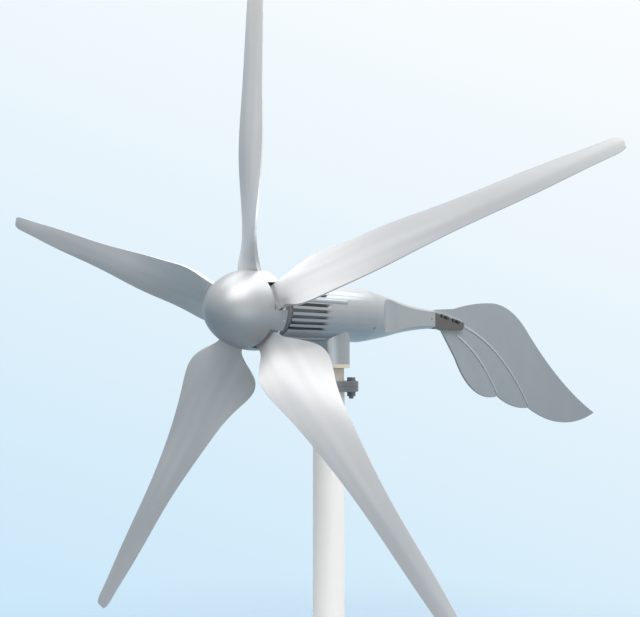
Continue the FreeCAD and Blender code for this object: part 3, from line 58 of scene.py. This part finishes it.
body_of = {node: body for body, nodes in frame["record"]["behaviour"]["bodies"].items() for node in nodes}
ROTOR = Vector(next(joint["pos_m"] for joint in frame["joints"] if joint["name"] == "rotor_spin"))
print("parts in the frame:", len(slot_of))
print("middle of the rotor:", [round(value, 3) for value in ROTOR])


# %% [markdown]
# ## Writing shader maths as Python sums
#
# A procedural finish is a graph of nodes.  Long graphs are hard to read, so a small class wraps a socket and
# overloads the arithmetic signs: `1 - mask` adds the Math node for us.  Every other node comes from one
# method, which takes the node's type, its settings, and the values or links of its sockets.

# %% Socket arithmetic
class Wire:
    """A socket that can be used in sums."""

    def __init__(self, graph, socket):
        self.graph = graph
        self.socket = socket

    def __add__(self, other):
        return self.graph.math("ADD", self, other)

    def __radd__(self, other):
        return self.graph.math("ADD", other, self)

    def __sub__(self, other):
        return self.graph.math("SUBTRACT", self, other)

    def __rsub__(self, other):
        return self.graph.math("SUBTRACT", other, self)

    def __mul__(self, other):
        return self.graph.math("MULTIPLY", self, other)

    def __rmul__(self, other):
        return self.graph.math("MULTIPLY", other, self)

    def __truediv__(self, other):
        return self.graph.math("DIVIDE", self, other)

    def __rtruediv__(self, other):
        return self.graph.math("DIVIDE", other, self)


# %% The node graph
class Graph:
    """A node tree, and the one method that adds nodes to it."""

    def __init__(self, tree):
        self.tree = tree

    def plug(self, target, value):
        """Puts a number, a colour or a wire on one input socket."""
        if isinstance(value, Wire):
            self.tree.links.new(value.socket, target)
        elif hasattr(target.default_value, "__len__") and len(target.default_value) == 4 and len(value) == 3:
            target.default_value = (*value, 1)
        else:
            target.default_value = value

    def add(self, kind, settings=None, inputs=None):
        """Adds a node, sets it up, then fills its input sockets."""
        node = self.tree.nodes.new(kind)
        for name, value in (settings or {}).items():
            setattr(node, name, value)
        for name, value in (inputs or {}).items():
            self.plug(node.inputs[name], value)
        return node

    def wire(self, node, output=0):
        """One output of a node, ready for sums."""
        return Wire(self, node.outputs[output])

    def math(self, operation, first, second=0.0):
        """A sum, a root or another function of one or two wires or numbers."""
        return self.wire(self.add("ShaderNodeMath", {"operation": operation}, {0: first, 1: second}))

    def ramp(self, value, low, high, curve="SMOOTHSTEP"):
        """Goes from 0 to 1 as a value goes from low to high."""
        node = self.add("ShaderNodeMapRange", {"interpolation_type": curve}, {0: value, 1: low, 2: high})
        return self.wire(node)

    def blend(self, mask, first, second):
        """One colour fading to another as the mask goes from 0 to 1."""
        node = self.add("ShaderNodeMix", {"data_type": "RGBA"}, {"Factor": mask, 6: first, 7: second})
        return self.wire(node, 2)

    def any_ray(self, *kinds):
        """Is 1 for a ray of one of the named kinds, and 0 for all others."""
        path = self.add("ShaderNodeLightPath")
        seen = self.wire(path, kinds[0])
        for kind in kinds[1:]:
            seen = self.math("MAXIMUM", seen, self.wire(path, kind))
        return seen


# %% The finish builder
class Finish(Graph):
    """A material with one main shader, and patterns measured on the part itself."""

    def __init__(self, name):
        self.material = bpy.data.materials.new(name)
        self.material.use_nodes = True
        super().__init__(self.material.node_tree)
        self.shader = self.tree.nodes["Principled BSDF"]
        self.place = self.wire(self.add("ShaderNodeTexCoord"), "Object")

    def measure_from(self, centre, turn=0.0):
        """Moves the zero of the coordinates to a centre, then turns them about Y."""
        rotation = Matrix.Rotation(turn, 3, "Y")
        inputs = {"Vector": self.place, "Rotation": (0, turn, 0), "Location": -(rotation @ Vector(centre))}
        self.place = self.wire(self.add("ShaderNodeMapping", None, inputs))

    def axes(self):
        """The three coordinates, each on a wire of its own."""
        split = self.add("ShaderNodeSeparateXYZ", None, {"Vector": self.place})
        return [self.wire(split, axis) for axis in "XYZ"]

    def noise(self, scale, detail=3, stretch=(1, 1, 1), roughness=0.5):
        """Soft cloudy noise from 0 to 1."""
        stretched = self.add("ShaderNodeVectorMath", {"operation": "MULTIPLY"}, {0: self.place, 1: stretch})
        inputs = {"Vector": self.wire(stretched), "Scale": scale, "Detail": detail, "Roughness": roughness}
        return self.wire(self.add("ShaderNodeTexNoise", None, inputs), "Fac")

    def bump(self, height, depth):
        """Turns a height pattern into surface relief; depth is in metres."""
        self.set(Normal=self.wire(self.add("ShaderNodeBump", None, {"Height": height, "Distance": depth})))

    def set(self, **sockets):
        """Fills the main shader's sockets; an underscore stands for a space in their names."""
        for name, value in sockets.items():
            self.plug(self.shader.inputs[name.replace("_", " ")], value)


def lighter(colour, amount):
    """A colour made lighter or darker by a share of itself."""
    return tuple(min(1.0, channel * (1 + amount)) for channel in colour)


print("node helpers ready")


# %% [markdown]
# ## Sprayed coats
#
# The blades, the nose cone, the casing and the shell carry a satin silver coat, and the mast, the yaw ring
# and the yaw tube a pale one.  A picture of paint would need every part unwrapped, so noise is used instead:
# it has no seams and fits a part of any shape.  A coat has three scales of detail: a fine sparkle from the
# flake, a faint orange-peel relief from spraying, and broad patches where it lies a little thicker.

# %% Gloss and colour of a coat
PATCH_SCALE = 7
FLAKE_SCALE = 2600
FLAKE_SHARE = 0.25
PEEL_SCALE = 420
ROUGHNESS_RANGE = 0.10


def gloss(coat, metallic, roughness):
    """Gives a finish the uneven gloss of a sprayed coat, and returns its broad patches."""
    broad = coat.noise(PATCH_SCALE)
    coat.set(Metallic=metallic, Roughness=broad * ROUGHNESS_RANGE + (roughness - ROUGHNESS_RANGE / 2),
             Coat_Weight=0.1, Coat_Roughness=0.3)
    return broad


def sprayed_coat(name, colour, metallic, roughness, peel=0.00002, patch=0.05):
    """A sprayed coat; peel is the depth of its relief, and patch the share by which its colour varies."""
    coat = Finish(name)
    broad = gloss(coat, metallic, roughness)
    mask = broad * (1 - FLAKE_SHARE) + coat.noise(FLAKE_SCALE, 1) * FLAKE_SHARE
    coat.set(Base_Color=coat.blend(mask, lighter(colour, -patch), lighter(colour, patch)))
    coat.bump(coat.noise(PEEL_SCALE, 2), peel)
    return coat.material


# %% The five plain coats
SHELL_METALLIC = 0.55
SHELL_ROUGHNESS = 0.34
SHELL_PEEL = 0.00004

cone_coat = sprayed_coat("satin_cone_coat", (0.30, 0.31, 0.318), 0.40, 0.42)
shell_coat = sprayed_coat(
    "satin_shell_coat", (0.31, 0.33, 0.345), SHELL_METALLIC, SHELL_ROUGHNESS, SHELL_PEEL)
mast_coat = sprayed_coat("white_mast_coat", (0.92, 0.92, 0.90), 0.0, 0.40, patch=0.02)
ring_coat = sprayed_coat("pale_ring_coat", (0.62, 0.56, 0.45), 0.0, 0.45, patch=0.04)
tube_coat = sprayed_coat("cream_tube_coat", (0.60, 0.56, 0.48), 0.1, 0.42, patch=0.04)
print("coats:", ", ".join(coat.name for coat in (cone_coat, shell_coat, mast_coat, ring_coat, tube_coat)))


# %% [markdown]
# ## Blade coat
#
# A moulded blade isn't perfectly smooth: the skin sinks a little along the inner spar and between the layers
# of fibre, which draws long soft creases from the root to the tip.  Modelling them would take a very fine
# mesh, and they are so shallow that relief in the coat shows them as well.  The coordinates are first turned
# so that Z runs out along the blade.  One crease is a bell curve across the blade, and the rest is noise
# stretched along it.

# %% Blade coats
SPAR_OFFSET = 0.012
SPAR_DRIFT = 0.035
SPAR_WIDTH = 0.010
SPAR_SHARE = 0.4
FIBRE_SCALE = 26
FIBRE_STRETCH = (1, 1, 0.10)
FIBRE_SHARE = 0.9
BLADE_RELIEF = 0.0014
BLADE_DARK = (0.465, 0.47, 0.48)
BLADE_PALE = (0.535, 0.54, 0.55)


def blade_lean(blade):
    """The angle of a blade from straight up, about the rotor axis."""
    low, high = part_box(blade)
    middle = (Vector(low) + Vector(high)) / 2 - ROTOR
    return math.atan2(-middle.x, middle.z)


def blade_coat(blade):
    """A silver coat whose creases run along one blade."""
    coat = Finish(blade + "_coat")
    coat.measure_from(ROTOR, blade_lean(blade))
    across, _, along = coat.axes()
    from_spar = (across + along * SPAR_DRIFT - SPAR_OFFSET) / SPAR_WIDTH
    spar = 1 / (from_spar * from_spar + 1)
    fibres = coat.noise(FIBRE_SCALE, 1, FIBRE_STRETCH)
    gloss(coat, 0.15, 0.38)
    coat.set(Base_Color=coat.blend(coat.ramp(fibres, 0.30, 0.70), BLADE_DARK, BLADE_PALE))
    coat.bump(spar * SPAR_SHARE + fibres * FIBRE_SHARE, BLADE_RELIEF)
    return coat.material


blades = sorted(node for node, slot in slot_of.items() if slot == "blade_plastic")
blade_coats = {blade: blade_coat(blade) for blade in blades}
print("blade angles in degrees:", [round(math.degrees(blade_lean(blade)), 1) for blade in blades])


# %% [markdown]
# ## Finned casing
#
# The generator casing is cast with cooling fins.  The floors of the gaps lie in shade, and that shade is
# painted into the coat.  The gaps could be painted one by one, but they all lie round one axis, so the coat
# simply gets darker towards the axis, as painted shade.  The two radii between which it darkens are counted
# from the rim of the front cover, which lies a little below the crests of the fins.

# %% Casing coat
cover_low, cover_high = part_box("front_cover")
COVER_RADIUS = (cover_high[0] - cover_low[0]) / 2
DARK_BELOW = COVER_RADIUS - 0.0065
PALE_ABOVE = COVER_RADIUS - 0.0008
GRIME_SCALE = 90
GRIME_STRETCH = (1, 0.3, 1)
# The colour of the painted shade on the floors of the gaps between the fins.
GAP_SHADE_COLOUR = (0.12, 0.125, 0.13)
CASING_DARK = (0.285, 0.305, 0.32)
CASING_PALE = (0.335, 0.355, 0.37)


def finned_coat():
    """A shell coat with painted shade that darkens it towards the rotor axis, inside the gaps between the fins."""
    coat = Finish("finned_casing_coat")
    coat.measure_from(ROTOR)
    gloss(coat, SHELL_METALLIC, SHELL_ROUGHNESS)
    across, _, up = coat.axes()
    radius = coat.math("SQRT", across * across + up * up)
    # Painted shade: 0 on the floors of the gaps, 1 on the crests of the fins.
    crest_unshaded = coat.ramp(radius, DARK_BELOW, PALE_ABOVE)
    grime = coat.noise(GRIME_SCALE, 3, GRIME_STRETCH)
    open_air = coat.blend(grime, CASING_DARK, CASING_PALE)
    coat.set(Base_Color=coat.blend(crest_unshaded, GAP_SHADE_COLOUR, open_air))
    coat.bump(coat.noise(PEEL_SCALE, 2), SHELL_PEEL)
    return coat.material


casing_coat = finned_coat()
print("dark below and pale above these radii:", round(DARK_BELOW, 4), round(PALE_ABOVE, 4))


# %% [markdown]
# ## Tail vane coat
#
# The vane is a plate with raised lines where one feather laps the next.  The crests of the lines catch the
# light, and that highlight is painted on them in a paler colour.  They could be traced with a curve, but the
# lines already stand proud in the mesh, so the coat gets lighter wherever the surface lies outside the plate's
# faces.

# %% Vane coat
PLATE_HALF = 0.0025
# Where the painted highlight on the crests starts and where it is full.
HIGHLIGHT_START = PLATE_HALF + 0.0001
HIGHLIGHT_FULL = PLATE_HALF + 0.0006
VANE_DARK = (0.235, 0.275, 0.30)
VANE_PALE = (0.285, 0.325, 0.35)
# The colour of the painted highlight on the crests of the raised lines.
VANE_CREST_HIGHLIGHT = (0.38, 0.43, 0.46)
VANE_GRAIN_SCALE = 300
VANE_GRAIN_DEPTH = 0.00004


def vane_finish():
    """A grey coat with a painted highlight on the raised lines."""
    coat = Finish("grey_vane_coat")
    gloss(coat, 0.15, 0.45)
    across, _, _ = coat.axes()
    # Painted highlight: the mask rises where the surface stands proud of the plate.
    proud = coat.ramp(coat.math("ABSOLUTE", across), HIGHLIGHT_START, HIGHLIGHT_FULL)
    plate = coat.blend(coat.noise(11, 4), VANE_DARK, VANE_PALE)
    coat.set(Base_Color=coat.blend(proud, plate, VANE_CREST_HIGHLIGHT))
    coat.bump(coat.noise(VANE_GRAIN_SCALE), VANE_GRAIN_DEPTH)
    return coat.material


vane_coat = vane_finish()
print("vane plate in metres:", 2 * PLATE_HALF)


# %% [markdown]
# ## Dark casting
#
# The front cover is a dark sand casting.  Its skin is pitted far too finely to model, so a sharp noise drives
# the relief, and the same noise makes the pits darker than the high spots, as dirt does.

# %% Cast skin
PIT_SCALE = 900
PIT_DEPTH = 0.00008


def cast_skin(name, colour):
    """A pitted cast surface."""
    skin = Finish(name)
    pits = skin.noise(PIT_SCALE, 4, roughness=0.7)
    skin.set(Base_Color=skin.blend(pits, lighter(colour, -0.25), lighter(colour, 0.25)),
             Metallic=0.3, Roughness=skin.noise(22) * 0.15 + 0.42)
    skin.bump(pits, PIT_DEPTH)
    return skin.material


dark_cast = cast_skin("dark_cast_cover", (0.15, 0.155, 0.16))
print("casting:", dark_cast.name)


# %% [markdown]
# ## Tail clamp
#
# The two clamp bars are dark too, with a painted highlight along their sloping top edges, where the light
# from above falls, and painted shade on the floors of their slots.  Separate materials for edge, side and slot
# would meet in hard lines, so one material has two soft masks.  The highlighted edge follows the bar's slope:
# its mask is a height above a sloping line.  The slot shade mask is a distance in from the bar's outer face.

# %% Clamp skin
_, clamp_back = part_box("tail_clamp_right")
OUTER_FACE = clamp_back[0]
SHELL_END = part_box("rear_shell")[1][1]
TOP_AT_END = ROTOR.z + 0.001
TOP_SLOPE = (clamp_back[2] - TOP_AT_END) / (clamp_back[1] - SHELL_END)
DARK_UNDER_TOP = 0.0075
PALE_UNDER_TOP = 0.0035
SLOT_START = 0.0005
SLOT_FULL = 0.0014
IRON_DARK = (0.060, 0.058, 0.053)
IRON_PALE = (0.092, 0.089, 0.081)
# The colour of the painted shade on the floors of the slots.
SLOT_SHADE = (0.03, 0.03, 0.03)
# The colour of the painted highlight on the sloping top edge.
IRON_TOP_HIGHLIGHT = (0.40, 0.42, 0.43)


def clamp_skin():
    """A dark bar with a painted highlight along its top edge and nearly black painted shade inside its slots."""
    skin = Finish("dark_cast_clamp")
    across, along, up = skin.axes()
    over_top = (along - SHELL_END) * TOP_SLOPE + (up - clamp_back[2])
    # Painted highlight along the top edge: a height above a sloping line.
    top_highlight = skin.ramp(over_top, -DARK_UNDER_TOP, -PALE_UNDER_TOP)
    # Painted shade inside the slots: a distance in from the outer face.
    inside = skin.ramp(skin.math("ABSOLUTE", across), OUTER_FACE - SLOT_START, OUTER_FACE - SLOT_FULL)
    pits = skin.noise(PIT_SCALE, 4, roughness=0.7)
    iron = skin.blend(pits, IRON_DARK, IRON_PALE)
    dark = skin.blend(inside, iron, SLOT_SHADE)
    skin.set(Base_Color=skin.blend(top_highlight, dark, IRON_TOP_HIGHLIGHT),
             Metallic=0.3, Roughness=pits * 0.1 + 0.38)
    skin.bump(pits, PIT_DEPTH)
    return skin.material


clamp_cast = clamp_skin()
print("slope of the clamp's top:", round(TOP_SLOPE, 3))


# %% [markdown]
# ## Machined and drawn metals
#
# Turned faces have fine rings round their axis, and drawn or ground steel has streaks along it.  Both are
# noise made uneven in one direction: squeezing the coordinates along an axis draws streaks along it, and
# stretching them draws rings round it.  One function makes them all, because only the colour, the gloss, the
# scale and the direction differ.

# %% Metals
PLAIN = (1, 1, 1)
RINGS_ROUND_Y = (1, 12, 1)
RINGS_ROUND_Z = (1, 1, 14)
STREAKS_ALONG_Y = (1, 0.1, 1)
FINE_STREAKS_ALONG_Y = (1, 0.05, 1)
SHEETS_ACROSS_Y = (0.02, 1, 0.02)
STAIN_SCALE = 35
MARK_DEPTH = 0.00002


def worked_metal(name, colour, roughness, stretch=PLAIN, scale=500, metallic=0.95):
    """Bare metal with tool marks."""
    metal = Finish(name)
    marks = metal.noise(scale, 3, stretch)
    stain = metal.noise(STAIN_SCALE, 2)
    metal.set(Base_Color=metal.blend(stain, lighter(colour, -0.12), lighter(colour, 0.10)),
              Metallic=metallic, Roughness=marks * 0.2 + (roughness - 0.1))
    metal.bump(marks, MARK_DEPTH)
    return metal.material


metals = {name: worked_metal(name, *look) for name, look in {
    "bright_zinc": ((0.55, 0.56, 0.58), 0.35),
    "dark_zinc": ((0.14, 0.145, 0.155), 0.42, PLAIN, 500, 0.5),
    "blackened_steel": ((0.045, 0.045, 0.047), 0.45, PLAIN, 500, 0.5),
    "turned_aluminium": ((0.50, 0.51, 0.53), 0.34, RINGS_ROUND_Y, 260),
    "turned_brass": ((0.62, 0.46, 0.18), 0.3, RINGS_ROUND_Z, 260),
    "ground_steel": ((0.56, 0.56, 0.57), 0.22, STREAKS_ALONG_Y, 900),
    "stator_laminations": ((0.24, 0.24, 0.26), 0.5, SHEETS_ACROSS_Y, 2200),
    "nickel_plate": ((0.60, 0.59, 0.56), 0.22),
    "enamelled_copper": ((0.42, 0.16, 0.07), 0.35, FINE_STREAKS_ALONG_Y, 1400, 0.8),
}.items()}
print("metals:", len(metals))


# %% [markdown]
# ## Rubber and moulded plastic
#
# Seals and insulators are dull.  They sit inside the turbine or in narrow gaps, so a matt colour with a fine
# grain is enough for them.

# %% Dull materials
GRAIN_SCALE = 1300
GRAIN_DEPTH = 0.00003


def moulded(name, colour, roughness):
    """A dull moulded material with a fine grain."""
    mould = Finish(name)
    grain = mould.noise(GRAIN_SCALE)
    mould.set(Base_Color=mould.blend(grain, lighter(colour, -0.2), lighter(colour, 0.2)),
              Roughness=grain * 0.12 + (roughness - 0.06))
    mould.bump(grain, GRAIN_DEPTH)
    return mould.material


seal_rubber = moulded("seal_rubber", (0.02, 0.02, 0.021), 0.65)
insulator = moulded("moulded_insulator", (0.035, 0.035, 0.04), 0.5)
print("dull materials:", seal_rubber.name, insulator.name)


# %% [markdown]
# ## Giving every part its finish
#
# The engineering record sorts the parts by what they are made of.  A finish could be set part by part, but a
# table from material to finish is shorter and leaves no part bare.  A few parts look different from others of
# their material, so they have entries of their own, which come first.

# %% Finishes of the parts
finish_of_slot = {
    "cone_plastic": cone_coat, "casting": casing_coat, "vane_metal": vane_coat, "dark_casting": dark_cast,
    "mast_paint": mast_coat, "yaw_paint": tube_coat, "cap_ring": ring_coat,
    "hub_metal": metals["turned_aluminium"], "fastener_steel": metals["bright_zinc"],
    "dark_steel": metals["dark_zinc"], "shaft_steel": metals["ground_steel"],
    "bearing_steel": metals["ground_steel"], "magnet": metals["nickel_plate"],
    "core_steel": metals["stator_laminations"], "copper": metals["enamelled_copper"],
    "ring_brass": metals["turned_brass"], "insulator": insulator, "seal_rubber": seal_rubber,
}
finish_of = {
    **blade_coats, "rear_shell": shell_coat, "shell_screws": metals["dark_zinc"],
    "tail_clamp_left": clamp_cast, "tail_clamp_right": clamp_cast,
    "tail_bolts": metals["blackened_steel"], "tail_nuts": metals["blackened_steel"],
}
for node, part in frame["nodes"].items():
    if node not in finish_of:
        finish_of[node] = finish_of_slot[slot_of[node]]
    part.data.materials.clear()
    part.data.materials.append(finish_of[node])
print("finishes given to all", len(frame["nodes"]), "parts")


# %% [markdown]
# ## Rounded edges on the engineering parts
#
# No real edge is perfectly sharp: a casting has a radius and a turned part has a small chamfer, and both
# catch the light.  The parts could be modelled again with round edges, but a modifier does it on a copy.  The
# copy's loose triangles are merged, flat areas are joined into single faces, and its sharp edges are
# bevelled.  The rest is shaded smooth.  The copy then stands for the engineering part and moves with it.
# The blades, the nose cone and the rear shell are curved all over.  Their own mesh carries exact shading,
# which a merged copy would lose, so they stay as they are.

# %% Copying and softening a part
SHARP = math.radians(32)
FLAT = math.radians(0.3)
SAME_POINT = 0.00001


def soften(node, edge, segments=2):
    """Makes a copy of an engineering part with rounded edges and smooth skins."""
    skin = bmesh.new()
    skin.from_mesh(frame["nodes"][node].data)
    bmesh.ops.remove_doubles(skin, verts=skin.verts, dist=SAME_POINT)
    bmesh.ops.dissolve_limit(skin, angle_limit=FLAT, verts=skin.verts, edges=skin.edges)
    mesh = bpy.data.meshes.new(node + "_skin")
    skin.to_mesh(mesh)
    skin.free()
    mesh.polygons.foreach_set("use_smooth", [True] * len(mesh.polygons))
    mesh.set_sharp_from_angle(angle=SHARP)
    mesh.materials.append(finish_of[node])
    piece = bpy.data.objects.new(node + "_skin", mesh)
    bpy.context.scene.collection.objects.link(piece)
    bevel = piece.modifiers.new("edge", "BEVEL")
    bevel.width = edge
    bevel.segments = segments
    bevel.limit_method = "ANGLE"
    bevel.angle_limit = SHARP
    bevel.harden_normals = True
    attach(piece, body_of[node])
    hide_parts(node)


# %% Softening the visible parts
edge_of = {
    "main_casing": 0.0008, "front_cover": 0.0008, "tail_vane": 0.0006, "yaw_shaft": 0.0006, "yaw_cap": 0.0008,
    "upper_flange": 0.0010, "mast_flange": 0.0010, "mast_tube": 0.0006, "base_flange": 0.0012,
    "flange_bolts": 0.0006, "flange_nuts": 0.0006, "flange_washers": 0.0003, "hub_front_plate": 0.0006,
    "hub_rear_plate": 0.0006, "blade_bolts": 0.0004, "blade_nuts": 0.0004, "tail_bolts": 0.0003,
}
clamp_edge_of = {"tail_clamp_left": 0.0012, "tail_clamp_right": 0.0012}
for node, edge in edge_of.items():
    soften(node, edge)
for node, edge in clamp_edge_of.items():
    soften(node, edge, segments=3)
print("softened parts:", len(edge_of) + len(clamp_edge_of))


# %% [markdown]
# ## Camera
#
# The turbine is seen from the front right and from slightly below its hub, as by someone who stands near its
# mast.  The camera could be aimed at the hub with a constraint, but a fixed place and direction keep the mast
# upright and the hub left of the middle, with room for the tail.

# %% Camera
AZIMUTH = math.radians(35.0)
RISE = math.radians(-2.44)
CAMERA_PLACE = (1.3288, -1.9303, 0.7515)
SENSOR_WIDTH = 36
LENS = 61.46

towards_camera = Vector(
    (math.sin(AZIMUTH) * math.cos(RISE), -math.cos(AZIMUTH) * math.cos(RISE), math.sin(RISE)))
camera = bpy.data.objects.new("camera", bpy.data.cameras.new("camera"))
bpy.context.scene.collection.objects.link(camera)
bpy.context.scene.camera = camera
camera.location = CAMERA_PLACE
camera.rotation_mode = "QUATERNION"
camera.rotation_quaternion = towards_camera.to_track_quat("Z", "Y")
camera.data.sensor_width = SENSOR_WIDTH
camera.data.lens = LENS
camera.data.clip_end = 100
print("camera at", [round(value, 3) for value in camera.location])


# %% [markdown]
# ## Sky
#
# The turbine stands against an open pale sky, which fades from blue low on the left to white high on the
# right.  A large painted backdrop would show its edge in other views, so the sky is the world itself, and its
# colour depends only on direction.  Camera, mirror and glass rays see that sky.  All other rays see a plain
# light, dimmer from below than from above, because a sky as bright below as above would take the shading off
# the turbine.  The view transform is Standard, so that a colour shows as it is written.

# %% Sky
SKY_SLANT = (0.26, 0.18, 0.95)
SKY_LOW = (0.48, 0.75, 0.935)
SKY_HIGH = (1.0, 1.0, 1.0)
SKY_FADE = (-0.50, 0.45)
GROUND_LIGHT = (0.14, 0.13, 0.12)
TOP_LIGHT = (0.76, 0.80, 0.84)
LIGHT_FADE = (-0.7, 0.9)

world = bpy.data.worlds.new("pale_sky")
bpy.context.scene.world = world
world.use_nodes = True
world.node_tree.nodes.clear()
world_graph = Graph(world.node_tree)
direction = world_graph.wire(world_graph.add("ShaderNodeTexCoord"), "Generated")
slant = world_graph.add("ShaderNodeVectorMath", {"operation": "DOT_PRODUCT"}, {0: direction, 1: SKY_SLANT})
share = world_graph.ramp(world_graph.wire(slant, "Value"), *SKY_FADE, "LINEAR")
gradient = world_graph.blend(share, SKY_LOW, SKY_HIGH)
sky = world_graph.add("ShaderNodeBackground", None, {"Color": gradient, "Strength": 1.0})
height = world_graph.wire(world_graph.add("ShaderNodeSeparateXYZ", None, {"Vector": direction}), "Z")
dome = world_graph.blend(world_graph.ramp(height, *LIGHT_FADE), GROUND_LIGHT, TOP_LIGHT)
plain = world_graph.add("ShaderNodeBackground", None, {"Color": dome, "Strength": 1.0})
seen = world_graph.any_ray("Is Camera Ray", "Is Glossy Ray", "Is Transmission Ray")
lights = {0: seen, 1: world_graph.wire(plain), 2: world_graph.wire(sky)}
mixed = world_graph.add("ShaderNodeMixShader", None, lights)
world_graph.add("ShaderNodeOutputWorld", None, {"Surface": world_graph.wire(mixed)})
bpy.context.scene.view_settings.view_transform = "Standard"
print("world nodes:", len(world.node_tree.nodes))


# %% [markdown]
# ## Lamps
#
# Outdoors the light comes from the whole upper sky and is stronger on the sun's side.  Three large soft lamps
# do the same without hard shadows: a key lamp high in front on the right, a wide one overhead, and a weak one
# low on the right that keeps the mast white.  One sun lamp would be simpler, but it casts sharp shadows.

# %% Lamps
LOW_ON_MAST = (0, 0, 0.3)


def soft_lamp(name, place, target, size, power, colour=(1, 1, 1)):
    """A square soft lamp aimed at a point."""
    lamp = bpy.data.objects.new(name, bpy.data.lights.new(name, "AREA"))
    bpy.context.scene.collection.objects.link(lamp)
    lamp.data.size = size
    lamp.data.energy = power
    lamp.data.color = colour
    lamp.location = place
    lamp.rotation_mode = "QUATERNION"
    lamp.rotation_quaternion = (Vector(place) - Vector(target)).to_track_quat("Z", "Y")
    print(name, "of", size, "m at", power, "W")


soft_lamp("key_lamp", (1.1, -1.3, 2.8), ROTOR, 1.9, 58, (1.0, 0.99, 0.97))
soft_lamp("overhead_lamp", (0.1, 0.4, 2.8), ROTOR, 3.0, 85)
soft_lamp("mast_lamp", (2.4, -1.4, 0.2), LOW_ON_MAST, 2.0, 17)


# %% [markdown]
# ## Floor
#
# A plain plate would cut the sky with a hard line.  This floor is a pale disc that gets more see-through with
# distance from the mast, so it fades into the sky and still keeps the turbine's shadow.  Camera and mirror
# rays see it in a blue close to the sky's.  To all other rays it is a plain dull grey, so that it doesn't
# tint the turbine.

# %% Floor
FLOOR_RADIUS = 1.9
FADE_START = 0.30
FADE_END = 1.5
FLOOR_DARK = (0.325, 0.425, 0.52)
FLOOR_PALE = (0.34, 0.44, 0.535)
FLOOR_GREY = (0.26, 0.26, 0.25)

disc = bmesh.new()
bmesh.ops.create_circle(disc, cap_ends=True, segments=96, radius=FLOOR_RADIUS)
floor_mesh = bpy.data.meshes.new("floor")
disc.to_mesh(floor_mesh)
disc.free()
floor = bpy.data.objects.new("floor", floor_mesh)
bpy.context.scene.collection.objects.link(floor)

paint = Finish("pale_floor")
distance = paint.wire(paint.add("ShaderNodeVectorMath", {"operation": "LENGTH"}, {0: paint.place}), "Value")
pale = paint.blend(paint.noise(60), FLOOR_DARK, FLOOR_PALE)
in_view = paint.any_ray("Is Camera Ray", "Is Glossy Ray")
paint.set(Base_Color=paint.blend(in_view, FLOOR_GREY, pale), Roughness=0.9,
          Alpha=1 - paint.ramp(distance, FADE_START, FADE_END))
floor_mesh.materials.append(paint.material)
print("floor radius in metres:", FLOOR_RADIUS)
